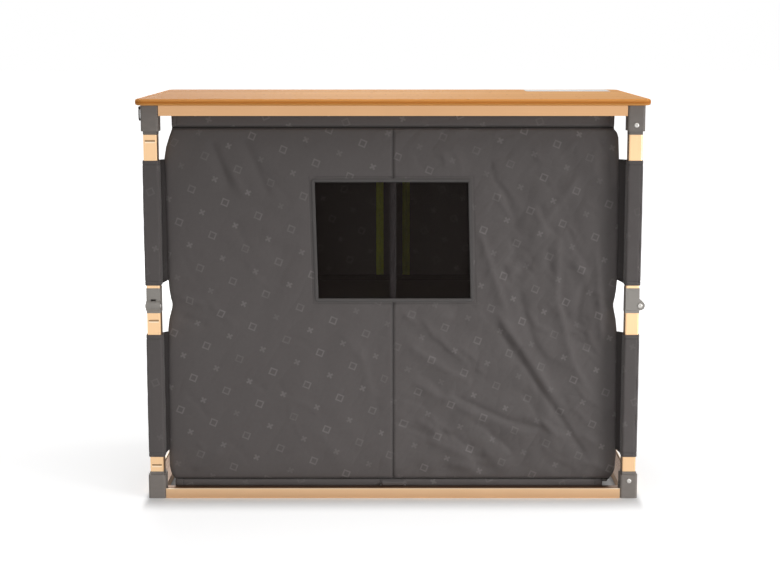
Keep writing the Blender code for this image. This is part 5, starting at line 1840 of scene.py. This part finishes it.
@dataclass
class Door:
    """One cloth door that hangs from the header, with the zip along its three free edges."""

    side: Side
    inner: float = 0.0303
    outer: float = 0.4427
    low: float = 0.0423
    high: float = 0.7447
    edge: float = 0.0032
    corner: float = 0.022
    hem: float = 0.0055
    plane: float = 0.1926
    nearest: float = 0.1913
    furthest: float = 0.1982
    zip_plane: float = 0.1887
    zip_gap: float = 0.0002
    coil_rise: float = 0.0004
    coil_dome: float = 0.0018
    tape_wall: float = 0.0005
    coil_wall: float = 0.0004
    step: float = 0.009
    beside_seam: float = 0.0012
    slider_away: float = 0.06
    tape_half: float = 0.0085
    coil_half: float = 0.0019

    @property
    def key(self) -> str:
        """Return left or right."""
        return self.side.name.lower()

    def folds(self) -> tuple[Fold, ...]:
        """Return the door's folds, across from the middle of the cupboard."""
        mirror = 1 if self.side is Side.RIGHT else 0.94
        return (
            Fold(((0.07, 0.7), (0.15, 0.47), (0.13, 0.25)), 0.0039, 0.016, 0.3),
            Fold(((0.4, 0.69), (0.33 * mirror, 0.52), (0.36, 0.3)), 0.0042, 0.015, 0.3),
            Fold(((0.2, 0.7), (0.24 * mirror, 0.45)), -0.0033, 0.016, 0.2),
            Fold(((0.09, 0.12), (0.22, 0.2), (0.34, 0.17)), 0.0036, 0.014, 0.3),
            Fold(((0.28, 0.4), (0.21 * mirror, 0.22)), 0.0033, 0.015, 0.3),
            Fold(((0.4, 0.1), (0.3, 0.26)), 0.003, 0.013, 0.2),
            Fold(((0.1, 0.4), (0.19, 0.34), (0.3, 0.37)), -0.0027, 0.013, 0.2),
        )

    def panel_cut(self) -> Cut:
        """Return the cut of the door."""
        sign = self.side.value
        left, right = self.inner + self.edge, self.outer - self.edge
        low = self.low + self.edge
        ripples = Ripples(21 if sign > 0 else 34, 0.0011, count=30, shortest=0.05)
        folds = self.folds()

        def inside(across: Array, up: Array) -> tuple[Array, Array]:
            """Return the distances from the nearer side and from the nearer end."""
            return np.minimum(across - left, right - across), np.minimum(up - low, self.high - up)

        def place(across: Array, up: Array) -> Points:
            """Hang the door with its folds, flat along its zip."""
            rim = np.minimum(*inside(across, up))
            calm = smooth_step((rim - 0.004) / 0.03)
            lift = sum(fold.lift(across, up) for fold in folds) + ripples.lift(across - 0.24, up)
            away = np.clip(self.plane + 0.0006 + lift * calm, self.nearest, self.furthest)
            away = away - 0.0012 * (1 - smooth_step(rim / 0.003))
            return stacked(sign * across, -away, up)

        def sewn(across: Array, up: Array) -> Points:
            """Sew the door's hem."""
            side, end = inside(across, up)
            away = np.abs(np.minimum(side, end) - self.hem)
            return stacked(np.where(side < end, up, across), away)

        columns, rows = (
            refined(start, end, self.step, (start + self.hem, end - self.hem), self.beside_seam)
            for start, end in ((left, right), (low, self.high)))
        return Cut(columns, rows, place, sewn)

    def zip_path(self) -> tuple[Array, Array, Array]:
        """Return the zip's line, down the inner edge, along the bottom and up the outer edge.

        Returns:
            The lengths along it, its points (across, height) and the directions away from the door.
        """
        radius = self.corner

        def bend(middle: float, start: float) -> list[tuple[float, float]]:
            """Return the points of a rounded lower corner."""
            return [(middle + radius * math.cos(turn), self.low + radius + radius * math.sin(turn))
                    for turn in np.linspace(math.pi, 1.5 * math.pi, 9) + start]

        inner, outer = bend(self.inner + radius, 0), bend(self.outer - radius, math.pi / 2)
        top = self.high - 0.004
        corners = np.array([(self.inner, top)] + inner + outer + [(self.outer, top)])
        lengths = distances(corners)
        marks = np.unique(np.round(np.concatenate([lengths, even(0, lengths[-1], 0.012)]), 6))
        spots = stacked(*follow(marks, lengths, corners))
        way = np.gradient(spots, axis=0)
        way /= np.linalg.norm(way, axis=1)[:, None]
        return marks, spots, stacked(way[:, 1], -way[:, 0])

    def ribbon(self, start: float, end: float, depth: float, dome: float) -> Cut:
        """Return the cut of a ribbon that follows the zip's line.

        Args:
            start: its one edge, measured away from the door.
            end: its other edge.
            depth: how far forward it lies.
            dome: how far its middle stands out.

        Returns:
            The cut, with its middle at 0 across.
        """
        runs, spots, away = self.zip_path()
        sign, middle, half = self.side.value, (start + end) / 2, abs(end - start) / 2

        def place(run: Array, across: Array) -> Points:
            """Lay the ribbon beside the zip's line."""
            x, up, out_x, out_up = follow(run, runs, spots, away)
            offset = middle + across
            y = depth + dome * np.sqrt(np.clip(1 - (across / half) ** 2, 0, 1))
            return stacked(sign * (x + out_x * offset), -y, up + out_up * offset)

        return Cut(runs, np.linspace(-half, half, 7 if dome else 5), place)

    def slider(self) -> Form:
        """Return the zip slider with its pull, at the lower end of the inner edge."""
        spot = (self.side.value * (self.inner + self.slider_away), -self.plane, self.low)
        body = (-0.0052, -0.0042, -0.0042), (0.0052, 0.0002, 0.0042), 0.0012
        bridge = (-0.003, -0.0058, -0.0012), (0.0034, -0.0036, 0.0012), 0.0005
        pull = (-0.004, -0.0064, 0.0005), (0.0008, -0.0046, 0.0215), 0.0008
        made = []
        for *corners, edge in (body, bridge, pull):
            low, high = ([at + away for at, away in zip(spot, corner)] for corner in corners)
            made.append(block(low, high, edge))
        return joined(made)

    def build(self, bench: Bench) -> None:
        """Make the door and its zip in place of the plain door."""
        body = f"{self.key}_door"
        cut = self.panel_cut()
        panel = bench.sew(f"{self.key}_door_cloth", cut, CLOTH, DOOR_CRUMPLE, CLOTH_WALL, body)
        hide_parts(f"door_{self.key}")
        gap, depth = self.zip_gap, self.zip_plane
        halves = (("frame", gap, self.tape_half, gap, self.coil_half, "base", BODY_CRUMPLE),
                  ("door", -self.tape_half, -gap, -self.coil_half, -gap, body, DOOR_CRUMPLE))
        trim = []
        for part, tape_in, tape_out, coil_in, coil_out, rides, crumple in halves:
            prefix = f"{self.key}_{part}_zip"
            tape = self.ribbon(tape_in, tape_out, depth, 0.0)
            coil = self.ribbon(coil_in, coil_out, depth + self.coil_rise, self.coil_dome)
            trim += [bench.sew(f"{prefix}_tape", tape, ZIP_TAPE, crumple, self.tape_wall, rides),
                     bench.sew(f"{prefix}_coil", coil, COIL, crumple, self.coil_wall, rides)]
        bench.piece(f"{self.key}_zip_slider", self.slider(), DARK_STEEL, body, "plain_steel",
                    DOOR_CRUMPLE, crisp=True)


@dataclass
class Shelves:
    """The two shelves and the floor board."""

    def build(self, bench: Bench) -> None:
        """Dress the thin panels."""
        bench.dress(["shelf_left", "shelf_right", "floor_board"], PANEL)


@dataclass
class Studio:
    """Pale floor, white surroundings, soft lamps and the camera."""

    camera_place: tuple[float, float, float] = (0.0, 3.2575, 0.9727)
    pitch: float = 7.861
    lens: float = 69.37
    shift: tuple[float, float] = (-0.0038, -0.0741)
    floor_half: float = 30.0
    world_level: float = 0.22

    def floor(self) -> None:
        """Lay the floor."""
        shape = bmesh.new()
        bmesh.ops.create_grid(shape, x_segments=1, y_segments=1, size=self.floor_half)
        mesh = bpy.data.meshes.new("studio_floor")
        shape.to_mesh(mesh)
        shape.free()
        mesh.materials.append(FLOOR.material())
        placed("studio_floor", mesh)

    def world(self) -> None:
        """Give the surroundings an even light that the camera sees as white."""
        world = bpy.data.worlds.new("studio")
        bpy.context.scene.world = world
        world.use_nodes = True
        graph = Graph(world.node_tree, "OutputWorld")
        level = graph.spread(graph.seen(), self.world_level, 1.0)
        graph.end(graph.node("Background", {"Color": (1, 1, 1, 1), "Strength": level}).outputs[0])

    def lamp(self, name: str, place: Sequence[float], target: Sequence[float], size: float,
             power: float, spread: float = 180.0, shines: bool = True, lights: bool = True) -> None:
        """Hang a soft square lamp.

        Args:
            name: the lamp's name.
            place: where it hangs.
            target: the point that it faces.
            size: the length of its side.
            power: its power in watts.
            spread: the angle in degrees into which it sends its light.
            shines: whether it shows in glossy surfaces.
            lights: whether it lights matt surfaces, or else only glints in glossy ones.
        """
        light = bpy.data.lights.new(name, "AREA")
        light.size, light.energy, light.spread = size, power, math.radians(spread)
        made = placed(name, light)
        made.visible_glossy, made.visible_diffuse, made.visible_camera = shines, lights, lights
        made.location = place
        made.rotation_euler = (Vector(target) - Vector(place)).to_track_quat("-Z", "Y").to_euler()

    def build(self) -> None:
        """Set up the studio."""
        self.floor()
        self.world()
        self.lamp("overhead", (-0.4, 0.35, 2.9), (-0.1, 0.35, 0), 2.6, 40)
        self.lamp("key", (-2.7, 2.0, 0.6), (-0.28, 0.19, 0.2), 1.0, 3.3, spread=42)
        self.lamp("fill", (0.4, 3.8, 0.6), (0.15, 0.19, 0.05), 1.2, 1.3, spread=36, shines=False)
        self.lamp("front_fill", (0.6, -2.8, 2.2), (0, 0, 0.45), 2.0, 34)
        self.lamp("glint", (-0.81, 2.2, 0.24), (-0.49, 0.21, 0.5), 0.5, 0.8, lights=False)
        data = bpy.data.cameras.new("camera")
        data.lens, data.sensor_width, data.sensor_fit = self.lens, 36.0, "HORIZONTAL"
        data.shift_x, data.shift_y = self.shift
        camera = placed("camera", data)
        camera.location = self.camera_place
        camera.rotation_euler = (math.radians(90 - self.pitch), 0, math.pi)
        bpy.context.scene.camera = camera
        bpy.context.scene.view_settings.view_transform = "Standard"
        LOG.info("studio is set up")


def main() -> None:
    """Build the cupboard's looks in order and report each piece."""
    logging.basicConfig(level=logging.INFO, format="%(name)s: %(message)s")
    bench = Bench()
    parts = [BoardTop(), Rims(), *(Leg(corner) for corner in Corner), ClothBody(), BackPanel(),
             Door(Side.LEFT), Door(Side.RIGHT), Shelves()]
    for part in parts:
        part.build(bench)
    Studio().build()
    LOG.info("%d new pieces", len(bench.made))


if __name__ == "__main__":
    main()
